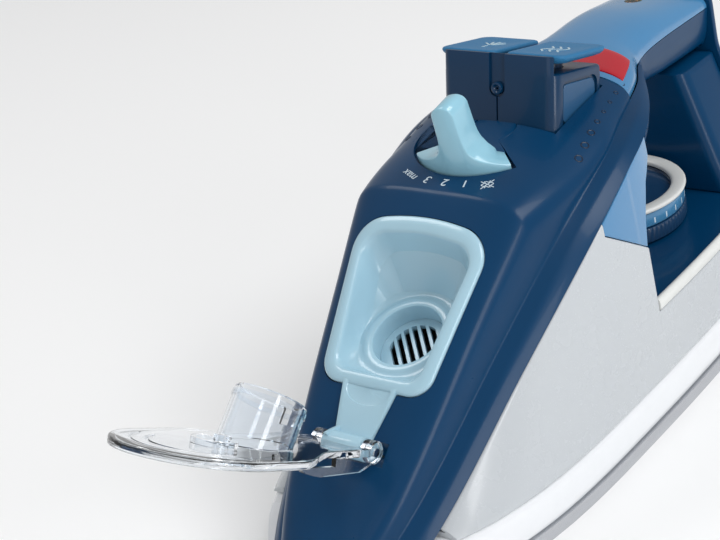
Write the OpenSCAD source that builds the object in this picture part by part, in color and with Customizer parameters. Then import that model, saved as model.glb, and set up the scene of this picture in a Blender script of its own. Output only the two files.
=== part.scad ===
// Steam iron, standing on its soleplate with the filler lid open.
// +Z up, nose towards -Y, heel towards +Y, origin at the centre of the soleplate's face. Millimetres.

/* [Soleplate] */
// Distance from the origin to the nose of the soleplate
nose_reach = 150; // [140:1:165]
// Distance from the origin to the heel of the soleplate
heel_reach = 140; // [134:1:155]
// Half width of the soleplate where it is widest
sole_half = 57; // [54:0.5:60]
// Thickness of the soleplate
sole_thick = 5; // [4:0.5:7]
// Radius of each steam hole
steam_hole_r = 1.3; // [0.8:0.1:2]
// Spacing of the steam holes along the edge
steam_hole_pitch = 17; // [12:1:24]
// Radius of the tube of the heating element
element_r = 4; // [3:0.5:4.5]
// Distance from the middle to each leg of the heating element
element_half = 28; // [24:1:32]
// Height of the steam chamber above the soleplate
chamber_h = 8; // [6:1:9]

/* [Body] */
// Wall of the moulded covers
wall = 2.4; // [2:0.1:3]
// Height of the line where the skirt meets the water tank
skirt_top = 20; // [19:0.5:24]
// Height of the deck under the temperature dial
deck_z = 50; // [46:1:54]
// Thickness of the deck
deck_thick = 3; // [2:0.5:4]
// Gap left between neighbouring mouldings
seam = 0.3; // [0.2:0.05:0.5]
// Radius of the screws
screw_r = 1.6; // [1.2:0.1:2]

/* [Filler] */
// Half width of the filler bezel at its upper end
bezel_top_half = 29.5; // [27:0.5:31]
// Half width of the filler bezel at its lower end
bezel_low_half = 23; // [20:0.5:26]
// Half length of the filler bezel along the panel
bezel_half_len = 31; // [29:0.5:33]
// Width of the flat rim of the bezel
bezel_rim = 5; // [3.5:0.5:7]
// Depth of the funnel below the panel
funnel_depth = 11; // [9:0.5:14]
// Radius of the bore that the lid tube drops into
neck_r = 13.2; // [12.8:0.1:14]
// Radius of the raised seat around the neck
seat_r = 17; // [16:0.5:19]
// Slope of the neck seat
neck_tilt = 22.9; // [18:0.1:26]
// Thickness of the bars of the filler grille
grille_bar = 1.2; // [0.8:0.1:2]

/* [Lid] */
// Length of the lid from its hinge to its far edge
lid_len = 105; // [98:1:108]
// Thickness of the lid plate
lid_thick = 2.8; // [2.2:0.1:3.4]
// How far the lid is swung open from the panel
lid_open = 107; // [90:0.5:115]
// Outer radius of the tube under the lid
tube_r = 12.5; // [11.5:0.1:12.7]
// Wall of the tube under the lid
tube_wall = 1.5; // [1:0.1:2]
// Radius of the lid hinge pin
pin_r = 1.5; // [1.2:0.1:2]
// Running clearance around pins and shafts
run_gap = 0.06; // [0.03:0.01:0.1]

/* [Controls] */
// Outer radius of the steam lever's saddle about its axis
lever_r = 29; // [26:0.5:32]
// Height of the lever's upright tab
tab_h = 22; // [16:1:26]
// Half width of the button block
block_half = 25.2; // [23:0.2:27]
// Depth of the button block from front to back
block_depth = 33; // [29:1:36]
// Height of the button block's front
block_h = 25.5; // [22:0.5:28]
// Lean of the button block towards the heel
block_lean = 13.4; // [8:0.1:18]
// Travel of each push button
button_travel = 3.5; // [2:0.1:4]
// Thickness of each push button's cap
cap_thick = 3.4; // [2.5:0.1:4.5]
// Radius of each pump barrel
pump_r = 7; // [5.5:0.5:8]
// Radius of the temperature dial
dial_r = 33; // [29:0.5:36]
// Height of the temperature dial
dial_h = 15; // [12:0.5:18]
// Distance of the dial's axis behind the origin
dial_y = 84; // [78:0.5:88]
// Radius of the dial's shaft
dial_shaft_r = 3; // [2.5:0.1:4]

/* [Handle] */
// Start of the handle shell behind the nose cover
handle_y = 56; // [54:0.5:60]
// Front wall of the hand opening
post_y = 26; // [24:0.5:30]
// Height of the underside of the handle
under_z = 102; // [98:0.5:105]
// Front of the rear post
rear_y = 119.5; // [118:0.5:122]
// Radius of the cord gland's bore
cord_bore_r = 3.6; // [2.5:0.1:4.5]

/* [Hidden] */
$fn = 64;

navy = "#1d4a72";
ice = "#b4d0dd";
mid_blue = "#4c8cb6";
pale = "#c8ccd1";
clear = "#e6edf5";

back_y = heel_reach + 10;
handle_end = back_y - wall - seam;

// Lines of the body, each a row of [y, half width, z]: the outer edge of the rail, and its inner edge.
// Widths are measured in from the widest part of the soleplate, so the body follows it.
rail_edge = [[-nose_reach + 6, sole_half - 51, sole_thick + 1.5], [-126, sole_half - 34, sole_thick + 2.5],
    [-104, sole_half - 23.5, 20], [-50, sole_half - 13, 61], [-5, sole_half - 5.5, 93.5], [20, sole_half - 5.7, 106],
    [41, sole_half - 8.8, 112.5], [60, sole_half - 17, 116], [84, sole_half - 33, 120]];
rail_inner = [[-nose_reach + 6, sole_half - 52.5, sole_thick + 3.5], [-126, sole_half - 40, 12],
    [-103, sole_half - 31, 28.5], [-50, sole_half - 22, 69], [-9, sole_half - 15.6, 98.5], [22, sole_half - 15, 111.5],
    [42, sole_half - 19.5, 116], [61, sole_half - 24.5, 118.7], [84, sole_half - 34.5, 121.2]];
// Ridge of the cover: the sloping panel, then the flatter panel behind the crease, each a row of [y, z].
crease = [-26.7, 113.8];
low_panel = [[-nose_reach + 4, 9], [-nose_reach + 12, 15], [-125, 24], [-112, 34.7], [-60, 82.9], crease];
high_panel = [crease, [17, 122.7], [50, 127.5], [84, 130]];
// How square the hump of the cover is, as a row of [y, exponent]
crown = [[-nose_reach + 4, 2.2], [-110, 4], [-30, 4.4], [10, 2.3], [84, 2.4]];
// Handle behind the cover, as rows of [y, half width, z]: its widest line and its ridge
handle_side = [[handle_y, 33.8, 118], [70, 29.4, 119.6], [84, 22.5, 121.2], [100, 21, 122.5], [handle_end, 20, 121]];
handle_ridge = [[handle_y, 128], [80, 132], [104, 133.5], [122, 131.8], [handle_end, 128.2]];
handle_under = [[post_y, under_z - 1], [46, under_z], [90, under_z + 4], [112, under_z + 2], [handle_end, under_z]];

panel_tilt = atan2(crease[1] - 82.9, crease[0] + 60);
panel_mid = [0, -59, 83.9];
neck_along = -7.2;
neck_depth = funnel_depth + 0.4;
hinge_along = -52.7;
hinge_up = 2.6;
hinge_boss_r = pin_r + 2.7;
hinge_half = 8;
lever_tilt = atan2(high_panel[1][1] - crease[1], high_panel[1][0] - crease[0]);
lever_at_y = 12;
lever_sweep = 44;
lever_half_span = 46;
lever_pocket = 3;
block_foot = [0, 16.9, 122.9];
dial_z = deck_z + 0.8;
tank_floor_z = skirt_top + seam;
tank_wall = 2;

// Value of column c of the rows p at y, on a smooth curve through them
function seg(p, y, i = 0) = i >= len(p) - 2 || y < p[i + 1][0] ? i : seg(p, y, i + 1);
function grade(p, i, c) =
    let(a = max(i - 1, 0), b = min(i + 1, len(p) - 1)) (p[b][c] - p[a][c]) / (p[b][0] - p[a][0]);
function along(p, y, c = 1) =
    let(i = seg(p, y), h = p[i + 1][0] - p[i][0], t = (y - p[i][0]) / h)
    (2 * t ^ 3 - 3 * t ^ 2 + 1) * p[i][c] + (t ^ 3 - 2 * t ^ 2 + t) * h * grade(p, i, c)
    + (3 * t ^ 2 - 2 * t ^ 3) * p[i + 1][c] + (t ^ 3 - t ^ 2) * h * grade(p, i + 1, c);
function spread(a, b, n) = [for (i = [0:n]) a + (b - a) * i / n];
function flip(p) = [for (i = [len(p) - 1:-1:0]) p[i]];
function mirrored(p) = concat([for (q = p) [-q[0], q[1]]], flip(p));
function unit(v) = v / norm(v);

// Half width of the soleplate's outline at y
widest_y = 20;
function sole_w(y) =
    y < widest_y ? sole_half * (1 - ((widest_y - y) / (nose_reach + widest_y)) ^ 3.8)
    : let(t = (y - widest_y) / (heel_reach - widest_y)) sole_half * (1 - 0.1 * t ^ 2) * sqrt(max(0, 1 - t ^ 12));
// The same outline as a polygon, drawn in by d, from y = a to y = b
function outline(d = 0, a = -nose_reach, b = heel_reach) =
    let(lo = max(a, -nose_reach + d), hi = min(b, heel_reach - d),
        ys = [for (i = [0:40]) lo + (hi - lo) * (1 - cos(180 * i / 40)) / 2])
    mirrored([for (y = ys) [max(0.2, sole_w(y) - d * (1 + 0.35 * max(0, -y - 60) / 90)), y]]);

// Corners [x, y, radius] turned into a polygon with round corners
function rounded(c, n = 6) = [for (i = [0:len(c) - 1])
    let(p = [c[i][0], c[i][1]], k = len(c), r = c[i][2],
        a = [c[(i + k - 1) % k][0], c[(i + k - 1) % k][1]], b = [c[(i + 1) % k][0], c[(i + 1) % k][1]],
        u = unit(a - p), v = unit(b - p), half = acos(u * v) / 2,
        m = p + unit(u + v) * r / sin(half), s = p + u * r / tan(half) - m, e = p + v * r / tan(half) - m,
        a0 = atan2(s[1], s[0]), da = (atan2(e[1], e[0]) - a0 + 540) % 360 - 180)
    for (j = [0:n]) m + r * [cos(a0 + da * j / n), sin(a0 + da * j / n)]];

// A solid skinned over rings of equally many points, with flat ends
module loft(rings) {
    n = len(rings[0]);
    m = len(rings);
    polyhedron(
        points = [for (r = rings) for (p = r) p],
        faces = concat(
            [[for (i = [0:n - 1]) i]], [[for (i = [n - 1:-1:0]) (m - 1) * n + i]],
            [for (j = [0:m - 2]) for (i = [0:n - 1]) let(k = (i + 1) % n)
                for (f = [[j * n + i, (j + 1) * n + i, (j + 1) * n + k], [j * n + i, (j + 1) * n + k, j * n + k]]) f]));
}
function at_y(p, y) = [for (q = p) [q[0], y, q[1]]];

// Upper line of the cover across y, from the left rail edge to the right one, and the same line drawn in by d
function ridge(y) = y < crease[0] ? along(low_panel, y) : along(high_panel, y);
function hump(y, n = 10) =
    let(x = along(rail_inner, y), z = along(rail_inner, y, 2), k = 2 / along(crown, y), top = ridge(y))
    [for (i = [0:n]) let(a = 90 - 90 * i / n) [x * sin(a) ^ k, z + (top - z) * cos(a) ^ k]];
function cover_half(y) = concat([[along(rail_edge, y), along(rail_edge, y, 2)]], hump(y));
function drawn_in(p, y, d) = let(x0 = along(rail_edge, y), z0 = along(rail_edge, y, 2))
    [for (i = [0:len(p) - 1]) [p[i][0] * (1 - d / x0), i == 0 ? p[i][1] : max(p[i][1] - 1.3 * d, z0)]];
function both_sides(p) = concat([for (q = p) [-q[0], q[1]]], flip([for (i = [0:len(p) - 2]) p[i]]));
function cover_ring(y, d = wall) = at_y(concat(both_sides(cover_half(y)),
    flip(both_sides(drawn_in(cover_half(y), y, d)))), y);
// The same line closed below by a level drop of d, for the solid under the cover's surface
function solid_ring(y, d) = let(x0 = along(rail_edge, y), z0 = along(rail_edge, y, 2))
    at_y(concat(both_sides(cover_half(y)), [[x0, z0 - d], [-x0, z0 - d]]), y);
module under_surface(a, b, d = 60) { loft([for (y = spread(a, b, 12)) solid_ring(y, d)]); }

// Placements on the panels, each with its local Z square to the surface that it names
module on_panel() { translate(panel_mid) rotate([panel_tilt, 0, 0]) children(); }
module at_neck() { translate([0, neck_along, -neck_depth]) rotate([neck_tilt - panel_tilt, 0, 0]) children(); }
module at_hinge() { translate([0, hinge_along, hinge_up]) children(); }
module on_lid() { on_panel() at_hinge() rotate([lid_open, 0, 0]) children(); }
module on_lever_axis() { translate([0, lever_at_y, ridge(lever_at_y)]) rotate([lever_tilt, 0, 0]) children(); }
module on_block() { translate(block_foot) rotate([-block_lean, 0, 0]) children(); }
module both() { children(); mirror([1, 0, 0]) children(); }
module along_x(r, a, b) { translate([a, 0, 0]) rotate([0, 90, 0]) cylinder(r = r, h = b - a); }
module ring(ro, ri, h) { difference() { cylinder(r = ro, h = h); translate([0, 0, -1]) cylinder(r = ri, h = h + 2); } }
module sector(ro, ri, from, to, h) {
    n = 20;
    linear_extrude(h) polygon(concat([for (i = [0:n]) let(a = from + (to - from) * i / n) ro * [cos(a), sin(a)]],
        [for (i = [n:-1:0]) let(a = from + (to - from) * i / n) ri * [cos(a), sin(a)]]));
}

// Inner chamber of the soleplate, drawn in by d
function chamber(d = 0) =
    rounded([[-14 + d, -84 + d, 6], [14 - d, -84 + d, 6], [20 - d, 50 - d, 6], [-20 + d, 50 - d, 6]]);
// The valve sits on the lever's axis, on a standpipe that carries the water down to the chamber
valve_down = 32;
pipe_r = 4.5;
stand_r = pipe_r - 0.7;
spindle_r = 2.6;
function pipe_y() = lever_at_y + valve_down * sin(lever_tilt);
seat_z = ridge(lever_at_y) - valve_down * cos(lever_tilt);

module soleplate() color("silver") difference() {
    union() {
        linear_extrude(sole_thick) polygon(outline());
        translate([0, 0, sole_thick]) linear_extrude(chamber_h) difference() {
            polygon(chamber());
            polygon(chamber(3));
        }
    }
    for (y = [-118:steam_hole_pitch:70]) both() translate([sole_w(y) - 11, y, -1]) cylinder(r = steam_hole_r, h = sole_thick + 2);
    for (y = [-128, -100, -72]) translate([0, y, -1]) cylinder(r = steam_hole_r, h = sole_thick + 2);
}

module heating_element() color("dimgray") translate([0, 0, sole_thick + element_r + seam]) {
    translate([0, -66, 0]) rotate([0, 0, 180]) rotate_extrude(angle = 180) translate([element_half, 0]) circle(element_r);
    both() translate([element_half, -66, 0]) rotate([-90, 0, 0]) cylinder(r = element_r, h = 158);
}

module chamber_cover() color("lightgray") translate([0, 0, sole_thick + chamber_h]) difference() {
    linear_extrude(2) polygon(chamber(-0.5));
    translate([0, pipe_y(), -1]) cylinder(r = pipe_r - 1, h = 4);
    for (y = [-78, 43]) both() translate([y < 0 ? 9 : 14, y, -1]) cylinder(r = screw_r + seam, h = 4);
}

module sole_screws() color("gainsboro") translate([0, 0, sole_thick + chamber_h + 2])
    for (y = [-78, 43]) both() translate([y < 0 ? 9 : 14, y, 0]) {
        cylinder(r = 2 * screw_r, h = screw_r);
        translate([0, 0, -2]) cylinder(r = screw_r, h = 3);
    }

module thermostat() color("tan") translate([0, dial_y, sole_thick]) {
    translate([-11, -11, 0]) cube([22, 22, 5]);
    cylinder(r = 9, h = skirt_top - 3 - sole_thick);
}

// Everything above the cover's lower edge at the nose, drawn from the side
module nose_clearance() rotate([90, 0, 90]) translate([0, 0, -sole_half - 5]) linear_extrude(2 * sole_half + 10)
    polygon(concat([[-102.5, 60]], [for (y = spread(-102.5, -nose_reach + 6, 10)) [y, along(rail_edge, y, 2) - seam]],
        [[-nose_reach - 9, sole_thick + 1.2], [-nose_reach - 9, 60]]));

module sole_skirt() color(pale) difference() {
    translate([0, 0, sole_thick]) linear_extrude(skirt_top - sole_thick) polygon(outline(0.8, -nose_reach + 5, heel_reach - 3));
    translate([0, 0, sole_thick - 1]) linear_extrude(skirt_top - sole_thick - 1)
        polygon(outline(0.8 + wall, -nose_reach + 9, heel_reach - 3 - wall));
    nose_clearance();
    translate([0, dial_y, 0]) cylinder(r = dial_shaft_r + 2, h = 60);
    translate([0, pipe_y(), 0]) cylinder(r = stand_r + 0.1, h = 60);
}

// Outer line of the tank's flank at y: from the skirt up to the rail, s going from 0 to 1
function flank_low(y) = sole_w(y) - 1;
function flank_top_x(y) = y < widest_y ? along(rail_edge, y) : flank_low(y) - 5;
function flank_top_z(y) = along(rail_edge, min(y, widest_y), 2);
function flank_x(y, z) = let(s = (z - tank_floor_z) / (flank_top_z(y) - tank_floor_z))
    flank_low(y) + (flank_top_x(y) - flank_low(y)) * s + 2.5 * s * (1 - s);
insert_low = [[-1.5, 91], [post_y - 1, 74], [post_y + 1.5, 84], [33, 96], [40, 103.4]];
tank_top_rear = deck_z - deck_thick - seam;
function tank_top(y) = y < -1.5 ? along(rail_edge, y, 2) - seam : y < post_y - 1 ? lookup(y, insert_low) - seam
    : tank_top_rear;
function tank_half(y, d, n = 4) = let(lo = tank_floor_z + d, hi = tank_top(y))
    [for (i = [0:n]) let(z = lo + (hi - lo) * i / n) [flank_x(y, z) - d, z]];
function tank_ring(y) = flip(at_y(concat(flip([for (q = tank_half(y, 0)) [-q[0], q[1]]]), tank_half(y, 0),
    flip(tank_half(y, tank_wall)), [for (q = tank_half(y, tank_wall)) [-q[0], q[1]]]), y));
// End wall of the tank, sunk by half its thickness into the floor and the flanks
function tank_plug(y) = let(d = tank_wall / 2, p = [for (q = tank_half(y, d)) [q[0], min(q[1], tank_top(y) - d)]])
    flip(at_y(concat(flip([for (i = [0:len(p) - 2]) [-p[i][0], p[i][1]]]), [for (i = [0:len(p) - 2]) p[i]]), y));
tank_front = -98.5;
tank_back = heel_reach - 15;

module water_tank() color(pale) difference() {
    union() {
        loft([for (y = concat(spread(tank_front, -1.51, 9), spread(-1.49, post_y - 1.05, 4), [post_y - 0.5],
            spread(post_y + 10, tank_back, 7))) tank_ring(y)]);
        for (y = [tank_front, tank_back - tank_wall]) loft([tank_plug(y), tank_plug(y + tank_wall)]);
        translate([0, dial_y, tank_floor_z]) cylinder(r = dial_shaft_r + 4, h = tank_top_rear - tank_floor_z);
    }
    translate([0, dial_y, 0]) cylinder(r = dial_shaft_r + 2, h = 60);
    translate([0, pipe_y(), 0]) cylinder(r = stand_r + 0.1, h = 60);
}

module valve_seat() color("white") difference() {
    union() {
        translate([0, pipe_y() - 1, seat_z - 4]) cylinder(r = pipe_r + 0.7, h = 14);
        translate([0, pipe_y(), sole_thick + chamber_h + 2 + seam])
            cylinder(r = stand_r, h = seat_z - sole_thick - chamber_h - 4);
    }
    on_lever_axis() translate([0, 0, -valve_down]) cylinder(r = spindle_r + run_gap, h = 40);
    translate([0, pipe_y(), 0]) cylinder(r = stand_r - 2.4, h = seat_z + 1);
}

// Outlines on the panel: the bezel, the funnel's mouth and the tongue, each grown by d
function bezel_outline(d = 0) = rounded([[-bezel_top_half - d, bezel_half_len - 1 + d, 13], [0, bezel_half_len + 4 + d, 90],
    [bezel_top_half + d, bezel_half_len - 1 + d, 13], [bezel_low_half + d, -bezel_half_len - d, 9],
    [-bezel_low_half - d, -bezel_half_len - d, 9]]);
function mouth_outline(d = 0) = rounded([[-bezel_top_half + bezel_rim - d, bezel_half_len - bezel_rim - 1 + d, 9],
    [0, bezel_half_len - bezel_rim + 2 + d, 70], [bezel_top_half - bezel_rim + d, bezel_half_len - bezel_rim - 1 + d, 9],
    [bezel_low_half - bezel_rim + d, -bezel_half_len + bezel_rim - d, 6],
    [-bezel_low_half + bezel_rim - d, -bezel_half_len + bezel_rim - d, 6]]);
function tongue_outline(d = 0) = rounded([[-12 - d, -bezel_half_len + 3, 1], [12 + d, -bezel_half_len + 3, 1],
    [hinge_half + d, -48, 4], [hinge_half + d, hinge_along - 3 - d, 1], [-hinge_half - d, hinge_along - 3 - d, 1],
    [-hinge_half - d, -48, 4]]);

module nose_cover() color(navy) difference() {
    union() {
        loft([for (y = concat(spread(-nose_reach + 6, -110, 5), spread(-100, crease[0], 7), spread(-20, 84, 11))) cover_ring(y)]);
        loft([for (y = [-nose_reach + 6, -nose_reach + 9]) solid_ring(y, 0.2)]);
        intersection() {
            under_surface(-30, 50, 10);
            on_lever_axis() translate([0, 0, -lever_pocket - wall]) cylinder(r = lever_r + 3, h = wall);
        }
    }
    on_panel() translate([0, 0, -12]) linear_extrude(40) polygon(bezel_outline(seam));
    on_panel() translate([0, 0, -9]) linear_extrude(40) polygon(tongue_outline(seam));
    on_panel() at_hinge() along_x(hinge_boss_r + 1, -15, 15);
    on_lever_axis() translate([0, 0, -lever_pocket])
        sector(lever_r + 1, 9, -90 - lever_half_span - lever_sweep - 3, -90 + lever_half_span + 3, 20);
    on_lever_axis() translate([0, 0, -lever_pocket - 5]) cylinder(r = dial_shaft_r + 0.3, h = 30);
    on_lever_axis() translate([0, 0, -lever_pocket]) cylinder(r = 10, h = 30);
    on_block() translate([-block_half - seam, -seam, -20]) cube([2 * (block_half + seam), block_depth + 2 * seam, 60]);
    translate([0, 0, 100]) linear_extrude(60) polygon(mirrored([for (y = spread(handle_y, 90, 8))
        [along(handle_side, y) + seam, y]]));
}

module filler_bezel() color(ice) difference() {
    union() {
        intersection() {
            on_panel() translate([0, 0, -5]) linear_extrude(30) polygon(bezel_outline());
            under_surface(-96, -18);
        }
        on_panel() hull() {
            translate([0, 0, -5]) linear_extrude(1) polygon(mouth_outline(2));
            at_neck() translate([0, 0, -4]) cylinder(r = seat_r + 2, h = 3, $fn = 48);
        }
        on_panel() at_neck() translate([0, 0, -13]) cylinder(r = neck_r + 2, h = 12);
        on_panel() translate([0, 0, -3]) linear_extrude(3 + hinge_up - lid_thick / 2 - 2 * seam, scale = [0.85, 1], slices = 1) polygon(tongue_outline());
        on_panel() at_hinge() along_x(hinge_boss_r, -hinge_half, hinge_half);
    }
    on_panel() hull() {
        translate([0, 0, -1]) linear_extrude(20) polygon(mouth_outline());
        at_neck() cylinder(r = seat_r, h = 1, $fn = 48);
    }
    on_panel() at_neck() translate([0, 0, -9]) cylinder(r = neck_r, h = 30);
    on_panel() at_neck() translate([0, 0, -20]) cylinder(r = neck_r - 2, h = 30);
    on_panel() at_hinge() along_x(pin_r + run_gap, -hinge_half - 1, hinge_half + 1);
}

module filler_grille() color(ice) on_panel() at_neck() translate([0, 0, -9]) intersection() {
    cylinder(r = neck_r - 0.1, h = 2);
    union() {
        ring(neck_r, neck_r - 3, 2);
        rotate([0, 0, 40]) for (i = [-3:3]) translate([i * 3.2 - grille_bar / 2, -neck_r, 0]) cube([grille_bar, 2 * neck_r, 2]);
    }
}

lid_half = 13.2;
ear_in = hinge_half + 0.5;
ear_r = hinge_boss_r - 0.2;
module lid_hinge_pin() color("silver") on_panel() at_hinge() along_x(pin_r, -lid_half, lid_half);

lid_end_r = bezel_top_half - 1;
function lid_outline() = rounded([[-lid_half, 2, 1], [-lid_half - 3, 33, 14], [-lid_end_r, 56, 14],
    [-lid_end_r, lid_len, lid_end_r - 0.2], [lid_end_r, lid_len, lid_end_r - 0.2], [lid_end_r, 56, 14],
    [lid_half + 3, 33, 14], [lid_half, 2, 1], [ear_in, 2, 0.5], [ear_in, 7, 2], [-ear_in, 7, 2], [-ear_in, 2, 0.5]]);
// The lid lies along local Y from its hinge, with its outer face towards +Z
module lid_tube_place() { translate([0, neck_along - hinge_along, -neck_depth - hinge_up]) rotate([neck_tilt - panel_tilt, 0, 0]) children(); }
module filler_lid() color(clear) on_lid() difference() {
    union() {
        translate([0, 0, -lid_thick / 2]) linear_extrude(lid_thick) polygon(lid_outline());
        both() along_x(ear_r, ear_in, lid_half);
        both() translate([lid_half - 2, 0, 0]) rotate([90, 0, 90]) linear_extrude(2)
            polygon([[0, lid_thick / 2], [2, ear_r], [24, 5.5], [40, lid_thick / 2]]);
        intersection() {
            lid_tube_place() translate([0, 0, -3]) cylinder(r = tube_r, h = 30);
            translate([-30, 0, -40]) cube([60, lid_len, 40]);
        }
    }
    intersection() {
        lid_tube_place() translate([0, 0, -4]) cylinder(r = tube_r - tube_wall, h = 40);
        translate([-30, 0, -40]) cube([60, lid_len, 40 - lid_thick / 2]);
    }
    along_x(pin_r + run_gap, -20, 20);
}

module lid_seal() color("white") on_lid() lid_tube_place() translate([0, 0, -1]) ring(neck_r - 0.35, tube_r + 0.02, 1.6);

insert_thick = 2;
function insert_ring(y) = let(lo = lookup(y, insert_low), hi = along(rail_edge, y, 2) - seam,
        wide = function(z) y < widest_y ? flank_x(y, z) : along(rail_edge, y) + (flank_x(widest_y, z) - flank_top_x(widest_y - 0.01)))
    [for (q = [[1, lo], [1, (lo + hi) / 2], [1, hi], [0, hi], [0, (lo + hi) / 2], [0, lo]])
        [wide(q[1]) - q[0] * insert_thick, y, q[1]]];
module side_insert() loft([for (y = concat(spread(-1.4, post_y - 1, 8), [post_y + 1.5, 30, 33, 36.5, 40])) insert_ring(y)]);
module side_insert_right() color(mid_blue) side_insert();
module side_insert_left() color(mid_blue) mirror([1, 0, 0]) side_insert();

module post_wall() color(mid_blue) {
    inner = function(z) flank_x(widest_y, z) - max(tank_wall, insert_thick) - 1.2;
    translate([0, post_y, 0]) rotate([90, 0, 0]) linear_extrude(wall) polygon(mirrored(
        [[inner(deck_z) - 0.6, deck_z + seam], [inner(80), 80], [inner(under_z - 2), under_z - 2]]));
}

module button_block() color(navy) on_block() difference() {
    translate([-block_half, 0, -8]) cube([2 * block_half, block_depth, block_h + 8 - cap_thick - button_travel]);
    translate([-block_half + wall, wall, -9])
        cube([2 * (block_half - wall), block_depth - 2 * wall, block_h + 8 - cap_thick - button_travel - 1.8]);
    for (x = [-12.5, 12.5]) translate([x, 17, 0]) cylinder(r = plunger_r + 0.4, h = block_h);
    translate([0, -1, nozzle_z]) rotate([-90, 0, 0]) cylinder(r = nozzle_r + run_gap, h = 2 * wall);
    spindle_room();
}
// Room around the valve spindle, where it passes the front of the block
module spindle_room() rotate([block_lean, 0, 0]) translate(-block_foot) on_lever_axis()
    translate([0, 0, -valve_down]) cylinder(r = spindle_r + 0.6, h = 2 * valve_down);

nozzle_z = block_h - 13.4;
nozzle_r = 2.4;
module spray_nozzle() color("white") on_block() translate([0, wall, nozzle_z]) rotate([90, 0, 0]) difference() {
    union() {
        translate([0, 0, -5]) cylinder(r = nozzle_r + 1, h = 5);
        cylinder(r = nozzle_r, h = wall + 0.8);
    }
    translate([0, 0, -6]) cylinder(r = 0.5, h = 20);
}

plunger_r = pump_r - 2.4;
barrel_top = 5;
barrel_len = 17;
module pump_barrel(x) on_block() translate([x, 17, barrel_top - barrel_len]) difference() {
    cylinder(r = pump_r, h = barrel_len);
    translate([0, 0, 3]) cylinder(r = plunger_r + run_gap, h = barrel_len);
}
module spray_pump_barrel() color("white") pump_barrel(-12.5);
module steam_pump_barrel() color("white") pump_barrel(12.5);
module pump_bracket() color("gray") on_block() difference() {
    translate([-block_half, 0, -8 - seam - 2.5]) cube([2 * block_half, block_depth, 2.5]);
    for (x = [-12.5, 12.5]) translate([x, 17, -12]) cylinder(r = pump_r + 0.05, h = 5);
    spindle_room();
}

cap_low = block_h - cap_thick;
plunger_low = barrel_top - barrel_len + 3 + button_travel + seam;
module plunger(x) on_block() translate([x, 17, plunger_low]) cylinder(r = plunger_r, h = cap_low - plunger_low);
module spray_plunger() color("lightgray") plunger(-12.5);
module steam_plunger() color("lightgray") plunger(12.5);
module cap(x) on_block() translate([x, 0, cap_low]) linear_extrude(cap_thick)
    polygon(rounded([[-11.7, 1.5, 2], [11.7 + sign(x) * 1.5, 1.5, 3], [11.7 + sign(x) * 1.5, block_depth + 1, 4],
        [-11.7 + min(0, sign(x) * 1.5) * 0, block_depth + 1, 2]]));
module spray_button() color("#5f9bbf") mirror([1, 0, 0]) cap(14.2);
module steam_button() color("#5f9bbf") cap(14.2);

// A coil of square wire around the plunger, between the top of the barrel and the roof of the block
module spring(x) on_block() translate([x, 17, barrel_top + seam]) {
    turns = 4;
    wire = 0.9;
    rise = block_h - cap_thick - button_travel - 3 - barrel_top - 2 * seam - wire;
    r = plunger_r + 0.5 + wire / 2;
    loft([for (i = [0:16 * turns]) let(a = i * 22.5, z = wire / 2 + rise * i / (16 * turns))
        [for (c = [[-1, -1], [1, -1], [1, 1], [-1, 1]]) [(r + c[0] * wire / 2) * cos(a), (r + c[0] * wire / 2) * sin(a), z + c[1] * wire / 2]]]);
}
module spray_spring() color("silver") spring(-12.5);
module steam_spring() color("silver") spring(12.5);

// Handle: a shell above the widest line and a grip below it
function shell_side(y) = along(handle_side, y) - (y < 84 ? seam : 0);
function shell_half(y, d, n = 9) = let(x = shell_side(y) - d, z = along(handle_side, y, 2), top = along(handle_ridge, y) - d)
    [for (i = [0:n]) let(a = 90 - 90 * i / n) [x * sin(a) ^ 0.8, z + (top - z) * cos(a) ^ 0.8]];
function handle_ring(y) = at_y(concat(both_sides(shell_half(y, 0)), flip(both_sides(shell_half(y, wall)))), y);
module handle_shell() color(mid_blue) difference() {
    loft([for (y = spread(handle_y + seam, handle_end, 12)) handle_ring(y)]);
    translate([0, lamp_y, 100]) cylinder(r = 3.2, h = 60);
    on_block() translate([-block_half - 2.5, -seam, -20]) cube([2 * (block_half + 2.5), block_depth + 2.5, 60]);
}
lamp_y = 122;
module indicator_lens() color("orange") translate([0, lamp_y, along(handle_ridge, lamp_y) - 5]) {
    cylinder(r = 3, h = 5);
    cylinder(r = 4.5, h = 1.2);
}
module label_plate() color("firebrick") {
    band = function(y, d) let(x = shell_side(y) + d, z = along(handle_side, y, 2), top = along(handle_ridge, y) + d, n = 12)
        [for (i = [0:n]) let(a = 62 - 124 * i / n, k = 0.8) [-x * sign(a) * sin(abs(a)) ^ k, z + (top - z) * cos(a) ^ k]];
    difference() {
        loft([for (y = [59.5, 66, 74]) at_y(band(y, 1.1), y)]);
        loft([for (y = [58, 66, 75.5]) at_y(let(q = band(y, 0.3)) concat(q, [q[len(q) - 1] - [0, 9], q[0] - [0, 9]]), y)]);
    }
}
function grip_x(y) = y < 40.2 ? along(rail_edge, y) - insert_thick - 1 : y < 84 ? along(rail_edge, y) - 0.4 : along(handle_side, y);
function grip_z(y) = (y < 84 ? along(rail_edge, y, 2) : along(handle_side, y, 2)) - seam;
function grip_half(y, d) = let(x = grip_x(y), z = grip_z(y), u = along(handle_under, y) + d)
    [[x - d, z], [x - d - 0.8, z - (z - u) * 0.45], [x * 0.86 - d, u + (z - u) * 0.16], [x * 0.6 - d * 0.5, u + 0.3], [0, u]];
function grip_ring(y) = flip(at_y(concat(both_sides(grip_half(y, 0)), flip(both_sides(grip_half(y, wall)))), y));
module handle_grip() color(navy) {
    ys = concat([post_y + seam], spread(31, 40.1, 3), spread(40.6, 83.9, 6), spread(84.1, handle_end, 7));
    loft([for (y = ys) grip_ring(y)]);
}

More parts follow.
